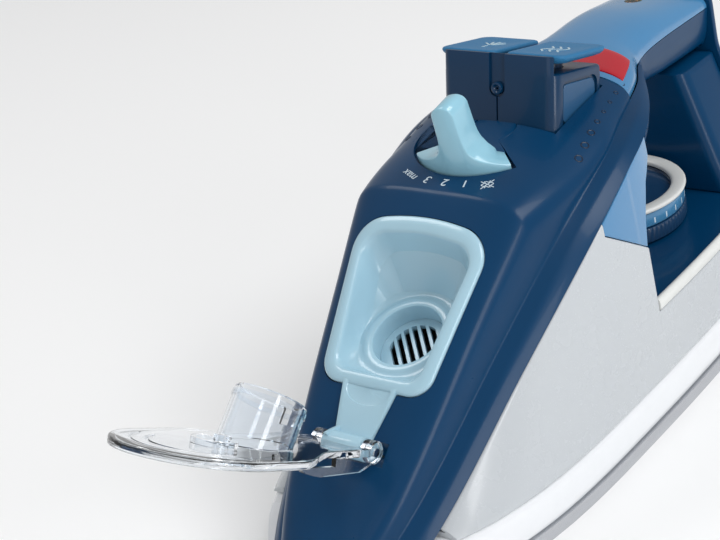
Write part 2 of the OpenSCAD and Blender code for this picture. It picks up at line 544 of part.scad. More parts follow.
post_low = deck_z + seam;
post_high = under_z - seam;
module rear_post() color(navy) difference() {
    post_body(0);
    translate([0, 0, 0]) post_body(wall);
}
module post_body(d) loft([for (z = spread(post_low - d, post_high + d, 6)) let(t = (z - post_low) / (post_high - post_low),
    w = 38 - 17 * t - d, front = rear_y + d, back = back_y - wall - seam - d)
    [for (q = rounded([[-w, front, 6], [w, front, 6], [w, back, 2], [-w, back, 2]], 4)) [q[0], q[1], z]]]);

heel_front = tank_back + seam;
module rear_cover() color(navy) difference() {
    translate([0, 0, skirt_top + seam]) linear_extrude(deck_z - skirt_top - seam) polygon(heel_outline(0));
    translate([0, 0, skirt_top - 1]) linear_extrude(deck_z - skirt_top - wall + 1) polygon(heel_outline(wall));
}
// Upright plate that the iron stands on when it rests on its heel, with the socket of the cord gland
module back_plate() color(navy) difference() {
    union() {
        translate([0, back_y, 0]) rotate([90, 0, 0]) linear_extrude(wall)
            polygon(rounded([[-40, 2, 3], [40, 2, 3], [40, deck_z, 20], [22.5, 104, 30], [21, 133, 12], [-21, 133, 12],
                [-22.5, 104, 30], [-40, deck_z, 20]]));
        translate([-drum_r - 2, gland_y - 4, gland_z - drum_half - 2]) cube([2 * drum_r + 4, back_y - gland_y + 3.5, 2 * drum_half + 4]);
    }
    translate([0, gland_y, gland_z - drum_half - run_gap]) cylinder(r = drum_r + run_gap, h = 2 * (drum_half + run_gap));
}
function heel_outline(d) = rounded([[-flank_low(tank_back) + d, heel_front + d * 0.5, 1], [flank_low(tank_back) - d, heel_front + d * 0.5, 1],
    [40 - d, back_y - wall - d * 0.5 - 0.01, 8], [-40 + d, back_y - wall - d * 0.5 - 0.01, 8]]);
module heel_feet() color("dimgray") for (z = [12, 108]) both() translate([z < 50 ? 30 : 14, back_y, z])
    rotate([-90, 0, 0]) cylinder(r = 4, h = 1.5);

gland_z = 114.9;
gland_y = back_y - wall / 2;
drum_r = 8;
drum_half = 7;
// The gland's drum turns about the upright axis; its inner side is flat
module cord_gland() color("#16324f") difference() {
    union() {
        translate([0, gland_y, gland_z - drum_half]) cylinder(r = drum_r, h = 2 * drum_half);
        translate([0, gland_y, gland_z]) rotate([-90, 0, 0]) cylinder(r = cord_bore_r + 2, h = 15);
    }
    translate([-20, gland_y - 27, gland_z - 20]) cube([40, 20, 40]);
    translate([0, gland_y - 20, gland_z]) rotate([-90, 0, 0]) cylinder(r = cord_bore_r, h = 60);
}

function deck_edge(d, a, b) = mirrored([for (y = spread(a, b, 20)) [flank_x(y, deck_z - deck_thick) - d, y]]);
module dial_deck() color(navy) difference() {
    translate([0, 0, deck_z - deck_thick]) linear_extrude(deck_thick) polygon(deck_edge(3 + seam / 2, post_y + 0.3, heel_front - 0.4));
    translate([0, dial_y, 0]) cylinder(r = dial_shaft_r + run_gap, h = 100);
}
module deck_rim() color("white") translate([0, 0, deck_z - deck_thick]) linear_extrude(deck_thick + 1.5) difference() {
    polygon(deck_edge(0, post_y + 0.3, heel_front - 0.4));
    polygon(deck_edge(3, post_y, heel_front + 1));
}

module temperature_dial() color(navy) translate([0, dial_y, dial_z]) difference() {
    cylinder(r = dial_r - 0.5, h = dial_h - 2);
    for (a = [0:7.5:359]) rotate([0, 0, a]) translate([dial_r - 0.1, 0, -1]) cylinder(r = 0.9, h = dial_h * 0.45, $fn = 6);
    translate([0, 0, dial_h - 3.5]) cylinder(r = dial_r - 6, h = 5);
}
module dial_rim() color("white") translate([0, dial_y, dial_z + dial_h - 2]) ring(dial_r, dial_r - 6, 2);
module dial_shaft() color("silver") translate([0, dial_y, skirt_top - 3 + seam])
    cylinder(r = dial_shaft_r, h = dial_z - skirt_top + 3 - seam);

module terminal_block() color("ivory") translate([-15, heel_front + 4, skirt_top + seam]) cube([30, 12, 14]);
module auto_off_board() color("green") translate([-12, 88, under_z + 4 + wall + 0.9]) cube([24, 24, 1.6]);
module cover_screws() color("gainsboro") {
    for (z = [60, 92]) both() translate([12, back_y, z]) rotate([90, 0, 0]) {
        translate([0, 0, -0.8]) cylinder(r = 2 * screw_r, h = 0.8);
    }
}

module steam_lever() color(ice) on_lever_axis() {
    translate([0, 0, -lever_pocket + 0.4]) {
        sector(lever_r, 12, -90 - lever_half_span, -90 + lever_half_span, 4.4);
        difference() {
            sector(13, spindle_r - 0.6, -88 - lever_half_span, -92 + lever_half_span, 3);
            translate([0, 0, -1]) cylinder(r = spindle_r, h = 9);
        }
    }
    // Wings and tab, cut from one outline seen from the front
    intersection() {
        translate([0, 0, 1]) sector(lever_r - 0.3, 19, -90 - lever_half_span, -90 + lever_half_span, tab_h + 8);
        rotate([90, 0, 0]) linear_extrude(40) polygon(mirrored([[16, 0.4], [8.5, 4.2], [5, 8.5], [4.1, 14], [4, tab_h - 1],
            [2.8, tab_h + 2], [0.5, tab_h + 3]]));
    }
}
module valve_spindle() color("silver") on_lever_axis() translate([0, 0, -valve_down + seam])
    cylinder(r = spindle_r, h = valve_down - seam - lever_pocket + 2.4);

soleplate();
heating_element();
chamber_cover();
thermostat();
sole_skirt();
water_tank();
nose_cover();
filler_bezel();
filler_grille();
lid_hinge_pin();
side_insert_left();
side_insert_right();
post_wall();
button_block();
spray_nozzle();
spray_pump_barrel();
steam_pump_barrel();
spray_spring();
steam_spring();
pump_bracket();
valve_seat();
handle_shell();
handle_grip();
label_plate();
dial_deck();
deck_rim();
rear_post();
rear_cover();
back_plate();
heel_feet();
terminal_block();
auto_off_board();
indicator_lens();
cover_screws();
sole_screws();
filler_lid();
lid_seal();
steam_lever();
valve_spindle();
spray_button();
spray_plunger();
steam_button();
steam_plunger();
temperature_dial();
dial_rim();
dial_shaft();
cord_gland();
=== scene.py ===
from math import acos, atan2, copysign, cos, pi, radians as rad, sin, sqrt, tan

import bpy
import bmesh
from mathutils import Matrix, Vector


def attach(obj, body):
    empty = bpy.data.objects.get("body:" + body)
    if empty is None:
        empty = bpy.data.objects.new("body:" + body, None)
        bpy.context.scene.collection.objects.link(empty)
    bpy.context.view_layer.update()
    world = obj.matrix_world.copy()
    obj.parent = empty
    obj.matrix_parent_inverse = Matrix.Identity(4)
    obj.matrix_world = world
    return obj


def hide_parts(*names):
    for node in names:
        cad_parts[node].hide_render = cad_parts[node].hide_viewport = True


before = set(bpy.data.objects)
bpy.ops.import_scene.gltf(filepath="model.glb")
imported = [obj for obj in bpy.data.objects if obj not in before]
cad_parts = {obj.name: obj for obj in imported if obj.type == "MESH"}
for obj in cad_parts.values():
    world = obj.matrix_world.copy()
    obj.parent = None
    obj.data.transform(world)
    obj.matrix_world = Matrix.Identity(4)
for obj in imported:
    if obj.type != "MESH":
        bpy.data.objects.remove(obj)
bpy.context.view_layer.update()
mm = 0.001
print("frame loaded")


def placed(name, data):
    ob = bpy.data.objects.new(name, data)
    bpy.context.scene.collection.objects.link(ob)
    return ob


# camera: place in mm, directions in degrees
shot = {"place": (368.8, -493.2, 372.1), "azimuth": 41.4, "elevation": 25.5, "roll": -11.0, "lens": 90.5}


def makeCamera():
    az, el, roll = (rad(shot[k]) for k in ("azimuth", "elevation", "roll"))
    back = Vector((sin(az) * cos(el), -cos(az) * cos(el), sin(el)))
    flat = Vector((cos(az), sin(az), 0))
    right = flat * cos(roll) + back.cross(flat) * sin(roll)
    data = bpy.data.cameras.new("camera")
    data.lens, data.sensor_width, data.clip_start = shot["lens"], 36, 0.01
    cam = placed("camera", data)
    cam.matrix_world = Matrix((right, back.cross(right), back)).transposed().to_4x4()
    cam.location = Vector(shot["place"]) * mm
    bpy.context.scene.camera = cam


makeCamera()
bpy.context.scene.view_settings.view_transform = "Standard"


# shader building blocks

def newGroup(name, outputs, **inputs):
    # A node group; the kind of each input follows from its value
    g = bpy.data.node_groups.new(name, "ShaderNodeTree")
    for label, value in inputs.items():
        kind = "Float" if isinstance(value, float) else "Color" if len(value) == 4 else "Vector"
        socket = g.interface.new_socket(label, in_out="INPUT", socket_type="NodeSocket" + kind)
        socket.default_value = value
    for label in outputs:
        kind = "Color" if label == "Colour" else "Float"
        g.interface.new_socket(label, in_out="OUTPUT", socket_type="NodeSocket" + kind)
    return g, g.nodes.new("NodeGroupInput").outputs, g.nodes.new("NodeGroupOutput").inputs


def put(tree, kind, links=None, **values):
    # A node, with links {input: source socket} and plain values for its settings or inputs
    node = tree.nodes.new(kind)
    for key, value in values.items():
        if hasattr(node, key):
            setattr(node, key, value)
        else:
            node.inputs[key.replace("_", " ")].default_value = value
    for key, source in (links or {}).items():
        tree.links.new(source, node.inputs[key])
    return node


def objectPoint(g):
    return put(g, "ShaderNodeTexCoord").outputs["Object"]


def maths(tree, operation, *sources, **values):
    return put(tree, "ShaderNodeMath", dict(enumerate(sources)), operation=operation, **values).outputs[0]


def noise(g, point, links=None, **values):
    return put(g, "ShaderNodeTexNoise", {"Vector": point, **(links or {})}, **values)


def finishGroup(g, i, o, height, gloss, tone=None, amount="Spread"):
    # Sends height, gloss about a level and, where tone is given, the blended colour to the group's outputs
    if tone:
        mix = put(g, "ShaderNodeMix", {0: tone, 6: i["Colour"], 7: i["Shade"]}, data_type="RGBA")
        g.links.new(mix.outputs[2], o["Colour"])
    g.links.new(maths(g, "MULTIPLY_ADD", gloss, i[amount], i["Roughness"]), o["Roughness"])
    g.links.new(height, o["Height"])
    return g


def tones(colour, shade):
    return {"Colour": (colour,) * 3 + (1,), "Shade": (shade,) * 3 + (1,)}


skinOutputs = ("Colour", "Roughness", "Height")


def makeMoulded():
    # moulded plastic: a slow change of tone, patches of gloss and a fine skin
    g, i, o = newGroup("mouldedSkin", skinOutputs, **tones(0.5, 0.4), Patches=22.0, Roughness=0.25, Spread=0.06,
                       Grain=2600.0)
    p = objectPoint(g)
    tone = noise(g, p, {"Scale": i["Patches"]}, Detail=3.0, Roughness=0.5)
    fast = put(g, "ShaderNodeMath", {0: i["Patches"]}, operation="MULTIPLY")
    fast.inputs[1].default_value = 4.0
    gloss = noise(g, p, {"Scale": fast.outputs[0]}, Detail=4.0)
    skin = noise(g, p, {"Scale": i["Grain"]}, Detail=2.0)
    return finishGroup(g, i, o, skin.outputs["Fac"], gloss.outputs["Fac"], tone.outputs["Fac"])


def makeRubbed():
    # fine hairline scratches from handling, all over and in no one direction
    g, i, o = newGroup("hairlines", ["Mask"], Amount=0.3, Size=60.0)
    p = objectPoint(g)
    masks = []
    for turn, stretch in ((0.4, 30.0), (1.9, 22.0)):
        spin, scale = (turn, turn * 0.7, turn * 1.3), (1.0, stretch, stretch)
        place = put(g, "ShaderNodeMapping", {"Vector": p}, Rotation=spin, Scale=scale)
        lines = noise(g, place.outputs[0], {"Scale": i["Size"]}, Detail=1.0)
        edge = put(g, "ShaderNodeMapRange", {"Value": lines.outputs["Fac"]}, From_Min=0.66, From_Max=0.72)
        masks.append(edge.outputs[0])
    g.links.new(maths(g, "MULTIPLY", maths(g, "MAXIMUM", *masks), i["Amount"]), o["Mask"])
    return g


def makeBrushed():
    # rolled or ground metal: streaks along one axis
    g, i, o = newGroup("groundMetal", skinOutputs, **tones(0.7, 0.5), Streaks=90.0, Stretch=(1.0, 0.04, 1.0),
                       Roughness=0.25, Spread=0.2)
    place = put(g, "ShaderNodeMapping", {"Vector": objectPoint(g), "Scale": i["Stretch"]})
    streak = noise(g, place.outputs[0], {"Scale": i["Streaks"]}, Detail=6.0, Roughness=0.7).outputs["Fac"]
    return finishGroup(g, i, o, streak, streak, streak)


def makePebble():
    # soft-touch or rubber skin: small soft cells
    g, i, o = newGroup("pebbledSkin", skinOutputs, **tones(0.1, 0.05), Cells=900.0, Roughness=0.6, Spread=0.15)
    p = objectPoint(g)
    cells = put(g, "ShaderNodeTexVoronoi", {"Vector": p, "Scale": i["Cells"]}, feature="SMOOTH_F1").outputs["Distance"]
    return finishGroup(g, i, o, cells, noise(g, p, Scale=60.0, Detail=3.0).outputs["Fac"], cells)


def makeFlow():
    # clear mouldings: long soft ripples of the melt and specks of haze
    g, i, o = newGroup("meltFlow", skinOutputs[1:], Ripple=45.0, Roughness=0.02, Haze=0.05)
    p = objectPoint(g)
    ripple, haze = noise(g, p, {"Scale": i["Ripple"]}, Detail=1.0), noise(g, p, Scale=180.0, Detail=5.0)
    return finishGroup(g, i, o, ripple.outputs["Fac"], haze.outputs["Fac"], amount="Haze")


mouldedSkin, hairlines, groundMetal = makeMoulded(), makeRubbed(), makeBrushed()
pebbledSkin, meltFlow = makePebble(), makeFlow()


def linear(rgb):
    return tuple(c / 255 / 12.92 if c <= 10 else ((c / 255 + 0.055) / 1.055) ** 2.4 for c in rgb) + (1.0,)


def shader(name, **plain):
    m = bpy.data.materials.new(name)
    m.use_nodes = True
    t = m.node_tree
    p = t.nodes["Principled BSDF"]
    for key, value in plain.items():
        p.inputs[key.replace("_", " ")].default_value = value
    return m, t, p


def useSkin(t, p, group, bump, far, colour=None, shade=None, **values):
    # Feeds one of the skin groups to the shader: colour, roughness and bump
    if colour:
        values.update(Colour=linear(colour), Shade=linear(shade))
    n = put(t, "ShaderNodeGroup", node_tree=group, **values)
    for name, key in (("Colour", "Base Color"), ("Roughness", "Roughness")):
        if name in n.outputs:
            t.links.new(n.outputs[name], p.inputs[key])
    b = put(t, "ShaderNodeBump", {"Height": n.outputs["Height"]}, Strength=bump, Distance=far)
    t.links.new(b.outputs[0], p.inputs["Normal"])
    return n


def moulded(name, colour, shade, rough=0.22, coat=0.5, grain=2600.0, bump=0.04, patches=22.0, scratch=0.03, **plain):
    m, t, p = shader(name, Coat_Weight=coat, Coat_Roughness=0.06, **plain)
    n = useSkin(t, p, mouldedSkin, bump, 0.00005, colour, shade, Patches=patches, Roughness=rough, Grain=grain)
    lines = put(t, "ShaderNodeGroup", node_tree=hairlines, Amount=scratch)
    worn = maths(t, "ADD", n.outputs["Roughness"], lines.outputs["Mask"], use_clamp=True)
    t.links.new(worn, p.inputs["Roughness"])
    return m


def metal(name, colour, shade, rough=0.2, spread=0.2, streaks=90.0, stretch=(1, 0.04, 1), bump=0.1):
    m, t, p = shader(name, Metallic=1.0)
    useSkin(t, p, groundMetal, bump, 0.0001, colour, shade, Streaks=streaks, Stretch=stretch, Roughness=rough,
            Spread=spread)
    return m


def pebbled(name, colour, shade, rough=0.5, cells=900.0, bump=0.15, **plain):
    m, t, p = shader(name, **plain)
    useSkin(t, p, pebbledSkin, bump, 0.0001, colour, shade, Cells=cells, Roughness=rough)
    return m


def milky(weight, *radius):
    return {"Subsurface_Weight": weight, "Subsurface_Radius": radius}


def clearMoulding(name, colour, rough=0.01, haze=0.03, ripple=45.0, bump=0.12, ior=1.47):
    m, t, p = shader(name, Base_Color=linear(colour), Transmission_Weight=1.0, IOR=ior)
    useSkin(t, p, meltFlow, bump, 0.0004, Ripple=ripple, Roughness=rough, Haze=haze)
    return m


finish = {
    "navy": moulded("navyCover", (1, 58, 96), (1, 51, 88), rough=0.26, coat=0.09, Specular_IOR_Level=0.18),
    "ice": moulded("iceBezel", (168, 203, 218), (160, 196, 213), rough=0.2, coat=0.4,
                   **milky(0.08, 0.004, 0.005, 0.006)),
    "lever": moulded("iceLever", (148, 198, 216), (139, 190, 210), rough=0.18, coat=0.4,
                     **milky(0.06, 0.003, 0.004, 0.005)),
    "midBlue": moulded("handleBlue", (66, 130, 176), (58, 120, 168), rough=0.2, coat=0.5),
    "tank": moulded("tankGrey", (188, 193, 197), (184, 189, 194), rough=0.24, coat=0.2, scratch=0.01,
                    **milky(0.1, 0.006, 0.006, 0.007)),
    "skirt": moulded("skirtWhite", (232, 234, 237), (224, 227, 231), rough=0.12, coat=0.7),
    "block": moulded("blockNavy", (6, 52, 86), (4, 44, 76), rough=0.26, coat=0.2, Specular_IOR_Level=0.3),
    "cap": moulded("capBlue", (52, 116, 160), (44, 106, 150), rough=0.4, coat=0.0, Specular_IOR_Level=0.12),
    # painted highlight: a lighter copy of the block's navy for its lit side faces
    "sidePanelPaintedLight": moulded("sidePanelPaintedLightBlue", (38, 84, 122), (32, 76, 114), rough=0.3, coat=0.1, Specular_IOR_Level=0.3),
    "dimple": moulded("dimpleNavy", (2, 34, 62), (1, 28, 54), rough=0.3, coat=0.1, Specular_IOR_Level=0.3),
    "dialNavy": moulded("dialNavy", (24, 62, 98), (16, 50, 82), rough=0.26, coat=0.4),
    "dialBand": moulded("dialBand", (72, 134, 176), (64, 124, 168), rough=0.25, coat=0.4),
    "label": moulded("labelRed", (180, 12, 34), (166, 8, 30), rough=0.2, coat=0.3),
    "paint": moulded("scalePaint", (206, 219, 228), (190, 206, 218), rough=0.45, coat=0.0, grain=5000.0, scratch=0.2),
    "whitePart": moulded("innerWhite", (222, 224, 222), (212, 214, 212), rough=0.35, coat=0.0, bump=0.12),
    "ceramic": moulded("ceramic", (206, 190, 164), (190, 172, 146), rough=0.55, coat=0.0, grain=1500.0, bump=0.3),
    "board": moulded("boardGreen", (28, 104, 62), (20, 84, 50), rough=0.3, coat=0.5, patches=200.0),
    "sole": metal("soleMetal", (206, 208, 212), (170, 173, 178), rough=0.14, spread=0.22),
    "element": metal("castMetal", (150, 150, 152), (112, 112, 115), rough=0.4, spread=0.3, streaks=500.0,
                     stretch=(1, 1, 1), bump=0.4),
    "steel": metal("brightSteel", (205, 206, 208), (176, 178, 182), rough=0.12, spread=0.15, streaks=400.0,
                   stretch=(1, 0.1, 1)),
    "grip": pebbled("gripSoft", (18, 46, 76), (13, 38, 66), rough=0.42, cells=1400.0, bump=0.12, Coat_Weight=0.15),
    "foot": pebbled("footRubber", (34, 35, 38), (22, 23, 25), rough=0.6),
    "clear": clearMoulding("clearLid", (244, 248, 252)),
    "lamp": clearMoulding("lampLens", (255, 170, 60), rough=0.08),
}
print("materials made")


# mesh building blocks, all in mm

def moved(*d):
    return Matrix.Translation(d)


def turned(axis, degrees):
    return Matrix.Rotation(rad(degrees), 4, axis)


def polar(r, angle):
    return r * cos(angle), r * sin(angle)


def grade(rows, i, c):
    a, b = max(i - 1, 0), min(i + 1, len(rows) - 1)
    return (rows[b][c] - rows[a][c]) / (rows[b][0] - rows[a][0])


def along(rows, y, c=1):
    # Value of column c at y on a smooth curve through the rows
    i = 0
    while i < len(rows) - 2 and y >= rows[i + 1][0]:
        i += 1
    h = rows[i + 1][0] - rows[i][0]
    t = (y - rows[i][0]) / h
    return ((2 * t ** 3 - 3 * t ** 2 + 1) * rows[i][c] + (t ** 3 - 2 * t ** 2 + t) * h * grade(rows, i, c)
            + (3 * t ** 2 - 2 * t ** 3) * rows[i + 1][c] + (t ** 3 - t ** 2) * h * grade(rows, i + 1, c))


def spread(a, b, n):
    return [a + (b - a) * k / n for k in range(n + 1)]


def lookup(x, table):
    for (xa, ya), (xb, yb) in zip(table, table[1:]):
        if x <= xb:
            return ya + (yb - ya) * max(0, (x - xa) / (xb - xa))
    return table[-1][1]


def rounded(corners, n=10):
    # Outline from corners (x, y, radius)
    out, k = [], len(corners)
    for i, (x, y, r) in enumerate(corners):
        p = Vector((x, y))
        a = (Vector(corners[i - 1][:2]) - p).normalized()
        b = (Vector(corners[(i + 1) % k][:2]) - p).normalized()
        half = acos(max(-1, min(1, a.dot(b)))) / 2
        m = p + (a + b).normalized() * r / sin(half)
        s, e = p + a * r / tan(half) - m, p + b * r / tan(half) - m
        a0 = atan2(s.y, s.x)
        da = (atan2(e.y, e.x) - a0 + 3 * pi) % (2 * pi) - pi
        out += [(m.x + r * cos(a0 + da * j / n), m.y + r * sin(a0 + da * j / n)) for j in range(n + 1)]
    return out


def mirrored(right, n=10, first=1):
    # A closed outline from its right-hand corners (x, y, radius); it starts at the mirror image of corner number first
    left = [(-x, y, r) for x, y, r in right]
    return rounded(left[first - 1::-1] + right + left[:first - 1:-1], n)


def ray(outline, angle, centre=(0, 0)):
    # Where the ray from the centre at that angle meets the outline
    d = Vector(polar(1, angle))
    best, c = None, Vector(centre)
    for i in range(len(outline)):
        a, b = Vector(outline[i - 1]) - c, Vector(outline[i]) - c
        e = b - a
        det = e.x * d.y - d.x * e.y
        if abs(det) > 1e-9:
            t, u = (e.x * a.y - a.x * e.y) / det, (d.x * a.y - d.y * a.x) / det
            if t > 0 and -1e-6 <= u <= 1 + 1e-6 and (best is None or t > best):
                best = t
    return c + d * best


def softened(points, radii, steps=3):
    # A line with the corners named in radii {index: radius} turned into small curves
    out = []
    for i, p in enumerate(points):
        p = Vector(p)
        if i in radii and 0 < i < len(points) - 1:
            a, b = Vector(points[i - 1]) - p, Vector(points[i + 1]) - p
            r = min(radii[i], 0.45 * a.length, 0.45 * b.length)
            pa, pb = p + a.normalized() * r, p + b.normalized() * r
            out += [tuple(pa * (1 - t) ** 2 + p * 2 * t * (1 - t) + pb * t * t) for t in spread(0, 1, steps)]
        else:
            out.append(tuple(p))
    return out


def skinned(rows, closed=False):
    # Vertices and faces over rows of equally many points; closed joins the last row to the first in place of end caps
    n, m = len(rows[0]), len(rows)
    verts = [p for row in rows for p in row]
    faces = []
    for j in range(m if closed else m - 1):
        for i in range(n):
            k, l = (i + 1) % n, (j + 1) % m
            faces.append((j * n + i, j * n + k, l * n + k, l * n + i))
    if not closed:
        faces += [tuple(range(n - 1, -1, -1)), tuple((m - 1) * n + i for i in range(n))]
    return verts, faces


def layered(plan, levels):
    # A skin over the outlines plan(d), one for each (z, d)
    return skinned([[(x, y, z) for x, y in plan(d)] for z, d in levels])


def atY(section, y):
    return [(x, y, z) for x, z in section]


def bothSides(half):
    return [(-x, z) for x, z in reversed(half)] + half[1:]


def inYZ(outline, xs):
    return skinned([[(x, y, z) for y, z in outline] for x in xs])


def inXZ(outline, ys):
    return skinned([atY(outline, y) for y in ys])


def prism(outline, low, high):
    return layered(lambda d: outline, ((low, 0), (high, 0)))


def box(x, y, farX, farY):
    return [(x, y), (farX, y), (farX, farY), (x, farY)]


def turnedShape(profile, n=96):
    # A lathe shape round local Z from a closed profile of (radius, height)
    return skinned([[(*polar(r, 2 * pi * k / n), z) for r, z in profile] for k in range(n)], closed=True)


def rod(radius, low, high, n=64, soft=0.0):
    s = min(soft, radius * 0.5, (high - low) * 0.4)
    rows = [(radius, low), (radius, high)]
    if s:
        rows = [(radius - s, low), (radius, low + s), (radius, high - s), (radius - s, high)]
    return skinned([[(*polar(r, 2 * pi * k / n), z) for k in range(n)] for r, z in rows])


def across(shape):
    # Turns a shape made round Z so that it lies along X
    return [(z, y, -x) for x, y, z in shape[0]], shape[1]


def makeObject(name, shape, place=None):
    # An object from (vertices in mm, faces), with its normals turned outwards
    me = bpy.data.meshes.new(name)
    m = place or Matrix.Identity(4)
    me.from_pydata([(m @ Vector(v)) * mm for v in shape[0]], [], shape[1])
    bm = bmesh.new()
    bm.from_mesh(me)
    bmesh.ops.remove_doubles(bm, verts=bm.verts, dist=1e-7)
    bmesh.ops.recalc_face_normals(bm, faces=bm.faces)
    bm.to_mesh(me)
    bm.free()
    return placed(name, me)


def settle(ob):
    # Applies the object's modifiers
    bpy.context.view_layer.update()
    me = bpy.data.meshes.new_from_object(ob.evaluated_get(bpy.context.evaluated_depsgraph_get()))
    old = ob.data
    ob.modifiers.clear()
    ob.data = me
    me.name = ob.name
    bpy.data.meshes.remove(old)
    return ob


def carve(ob, *tools, operation="DIFFERENCE"):
    for t in tools:
        cut = ob.modifiers.new("cut", "BOOLEAN")
        cut.operation, cut.object, cut.solver = operation, t, "MANIFOLD"
    settle(ob)
    for t in tools:
        bpy.data.objects.remove(t)
    return ob


def fuse(ob, *parts):
    return carve(ob, *parts, operation="UNION")


def tool(shape, place=None):
    return makeObject("cutter", shape, place)


def rounding(ob, width, segments, angle):
    b = ob.modifiers.new("rounding", "BEVEL")
    b.width, b.segments, b.limit_method, b.angle_limit = width * mm, segments, "ANGLE", rad(angle)
    return settle(ob)


def piece(ob, material, body, stands=None, sharp=32):
    # Finishes an object as a piece: material, smooth faces with sharp edges, body and the CAD part it stands for
    me = ob.data
    me.materials.clear()
    me.materials.append(finish[material])
    me.polygons.foreach_set("material_index", [0] * len(me.polygons))
    me.polygons.foreach_set("use_smooth", [True] * len(me.polygons))
    me.set_sharp_from_angle(angle=rad(sharp))
    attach(ob, body)
    if stands:
        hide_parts(stands)


def joined(*shapes):
    # Several (vertices, faces), each with its own place, as one shape
    verts, faces = [], []
    for shape, place in shapes:
        k, m = len(verts), place or Matrix.Identity(4)
        verts += [tuple(m @ Vector(v)) for v in shape[0]]
        faces += [tuple(i + k for i in f) for f in shape[1]]
    return verts, faces


# lines of the body in mm: rows of (y, half width, z), and of (y, z) or (y, exponent)
body = {
    "railEdge": [(-144, 6, 6.5), (-126, 23, 7.5), (-104, 33.5, 20), (-50, 44, 61), (-5, 51.5, 93.5), (20, 51.3, 106),
                 (41, 48.2, 112.5), (60, 40, 116), (84, 24, 120)],
    "railInner": [(-144, 4.5, 8.5), (-126, 17, 12), (-103, 26, 28.5), (-50, 35, 69), (-9, 41.4, 98.5), (22, 42, 111.5),
                  (42, 37.5, 116), (61, 32.5, 118.7), (84, 22.5, 121.2)],
    "lowPanel": [(-146, 9), (-138, 15), (-125, 24), (-112, 34.7), (-60, 82.9), (-26.7, 113.8)],
    "highPanel": [(-26.7, 113.8), (17, 122.7), (50, 127.5), (84, 130)],
    "crown": [(-146, 2.2), (-110, 4), (-30, 4.4), (10, 2.3), (84, 2.4)],
    "handleSide": [(56, 33.8, 118), (70, 29.4, 119.6), (84, 22.5, 121.2), (100, 21, 122.5), (147.3, 20, 121)],
    "handleRidge": [(56, 128), (80, 132), (104, 133.5), (122, 131.8), (147.3, 128.2)],
    "handleUnder": [(26, 101), (46, 102), (90, 106), (112, 104), (147.3, 102)],
    "insertLow": [(-1.5, 91), (25, 74), (27.5, 84), (33, 96), (40, 103.4)],
    "crease": -26.7, "creaseSoft": 1.3, "wall": 2.4, "seam": 0.3, "railBulge": 1.2, "railSoft": 0.9,
    "noseReach": 150, "heelReach": 140, "soleHalf": 57, "widest": 20, "skirtTop": 20, "deck": 50,
}
# tilts round X in degrees: the filler's panel, its neck in the panel, the lid standing open, the lever and the buttons
tilt = {"panel": 42.859, "neck": -19.959, "lid": 107, "lever": 11.5115, "block": -13.4}
panelPlace = moved(0, -59, 83.9) @ turned("X", tilt["panel"])
neckPlace = panelPlace @ moved(0, -7.2, -11.4) @ turned("X", tilt["neck"])
hingePlace = panelPlace @ moved(0, -52.7, 2.6)
lidPlace = hingePlace @ turned("X", tilt["lid"])
tubePlace = lidPlace @ moved(0, 45.5, -14) @ turned("X", tilt["neck"])
leverPlace = moved(0, 12, 121.78) @ turned("X", tilt["lever"])
blockPlace = moved(0, 16.9, 122.9) @ turned("X", tilt["block"])


def edgeX(y):
    return along(body["railEdge"], y)


def edgeZ(y):
    return along(body["railEdge"], y, 2)


def ridge(y):
    c, w = body["crease"], body["creaseSoft"]
    line = lambda v: along(body["lowPanel" if v < c else "highPanel"], v)
    if abs(y - c) < w:
        t = (y - c + w) / (2 * w)
        return line(c - w) * (1 - t) ** 2 + along(body["highPanel"], c) * 2 * t * (1 - t) + line(c + w) * t * t
    return line(y)


def coverZ(x, y):
    # Height of the cover's hump at (x, y)
    xi, zi, k = along(body["railInner"], y), along(body["railInner"], y, 2), along(body["crown"], y)
    return zi + (ridge(y) - zi) * max(0, 1 - min(1, abs(x) / xi) ** k) ** (1 / k)


def halfLine(y, n=30):
    # The cover's line at y from the rail's edge up to the ridge, as (x, z)
    e, i = Vector((edgeX(y), edgeZ(y))), Vector([along(body["railInner"], y, c) for c in (1, 2)])
    side = (i - e).normalized()
    mid = (e + i) / 2 + Vector((-side.y, side.x)) * -min(body["railBulge"], 0.12 * (i - e).length)
    k, top = 2 / along(body["crown"], y), ridge(y)
    turns = (pi / 2 * (1 - j / n) ** 1.15 for j in range(1, n + 1))
    hump = [(i.x * sin(a) ** k, i.y + (top - i.y) * cos(a) ** k) for a in turns]
    soft = body["railSoft"]
    line = [(e.x - 1.2, e.y - 0.01), tuple(e), tuple(mid), tuple(i)] + hump
    return softened(line, {1: soft, 2: soft * 1.6, 3: soft})[1:]


def coverRow(y, scale=1.0, solid=False):
    half = halfLine(y)
    x0, z0 = edgeX(y), edgeZ(y)
    half = [(x * scale, z0 + (z - z0) * scale) for x, z in half]
    outer = [(-x, z) for x, z in half] + half[-2::-1]
    if solid:
        return atY(outer, y)
    d = body["wall"]
    inner = [(x * (1 - d / x0), max(z - 1.3 * d, z0)) for x, z in outer]
    inner[0], inner[-1] = (-(x0 - d), z0), (x0 - d, z0)
    return atY(outer + inner[::-1], y)


bezelRim = {"topHalf": 29.5, "lowHalf": 23, "halfLength": 31, "rim": 5, "centre": (0, -4)}


def rimOutline(d=0.0, inset=0, tip=4, radii=(13, 90, 9)):
    t, l, h = (bezelRim[k] - inset + d for k in ("topHalf", "lowHalf", "halfLength"))
    corner, top, low = radii
    return rounded([(-t, h - 1, corner), (0, h + tip, top), (t, h - 1, corner), (l, -h, low), (-l, -h, low)])


def tongueOutline(d=0.0):
    return rounded([(-12 - d, -28, 1), (12 + d, -28, 1), (8 + d, -48, 4), (8 + d, -55.7 - d, 1), (-8 - d, -55.7 - d, 1),
                    (-8 - d, -48, 4)], 5)


def blockRoom(half, depth):
    # tool that clears a cover for the button block
    return tool(prism(box(-half, -0.3, half, depth), -20, 40), blockPlace)


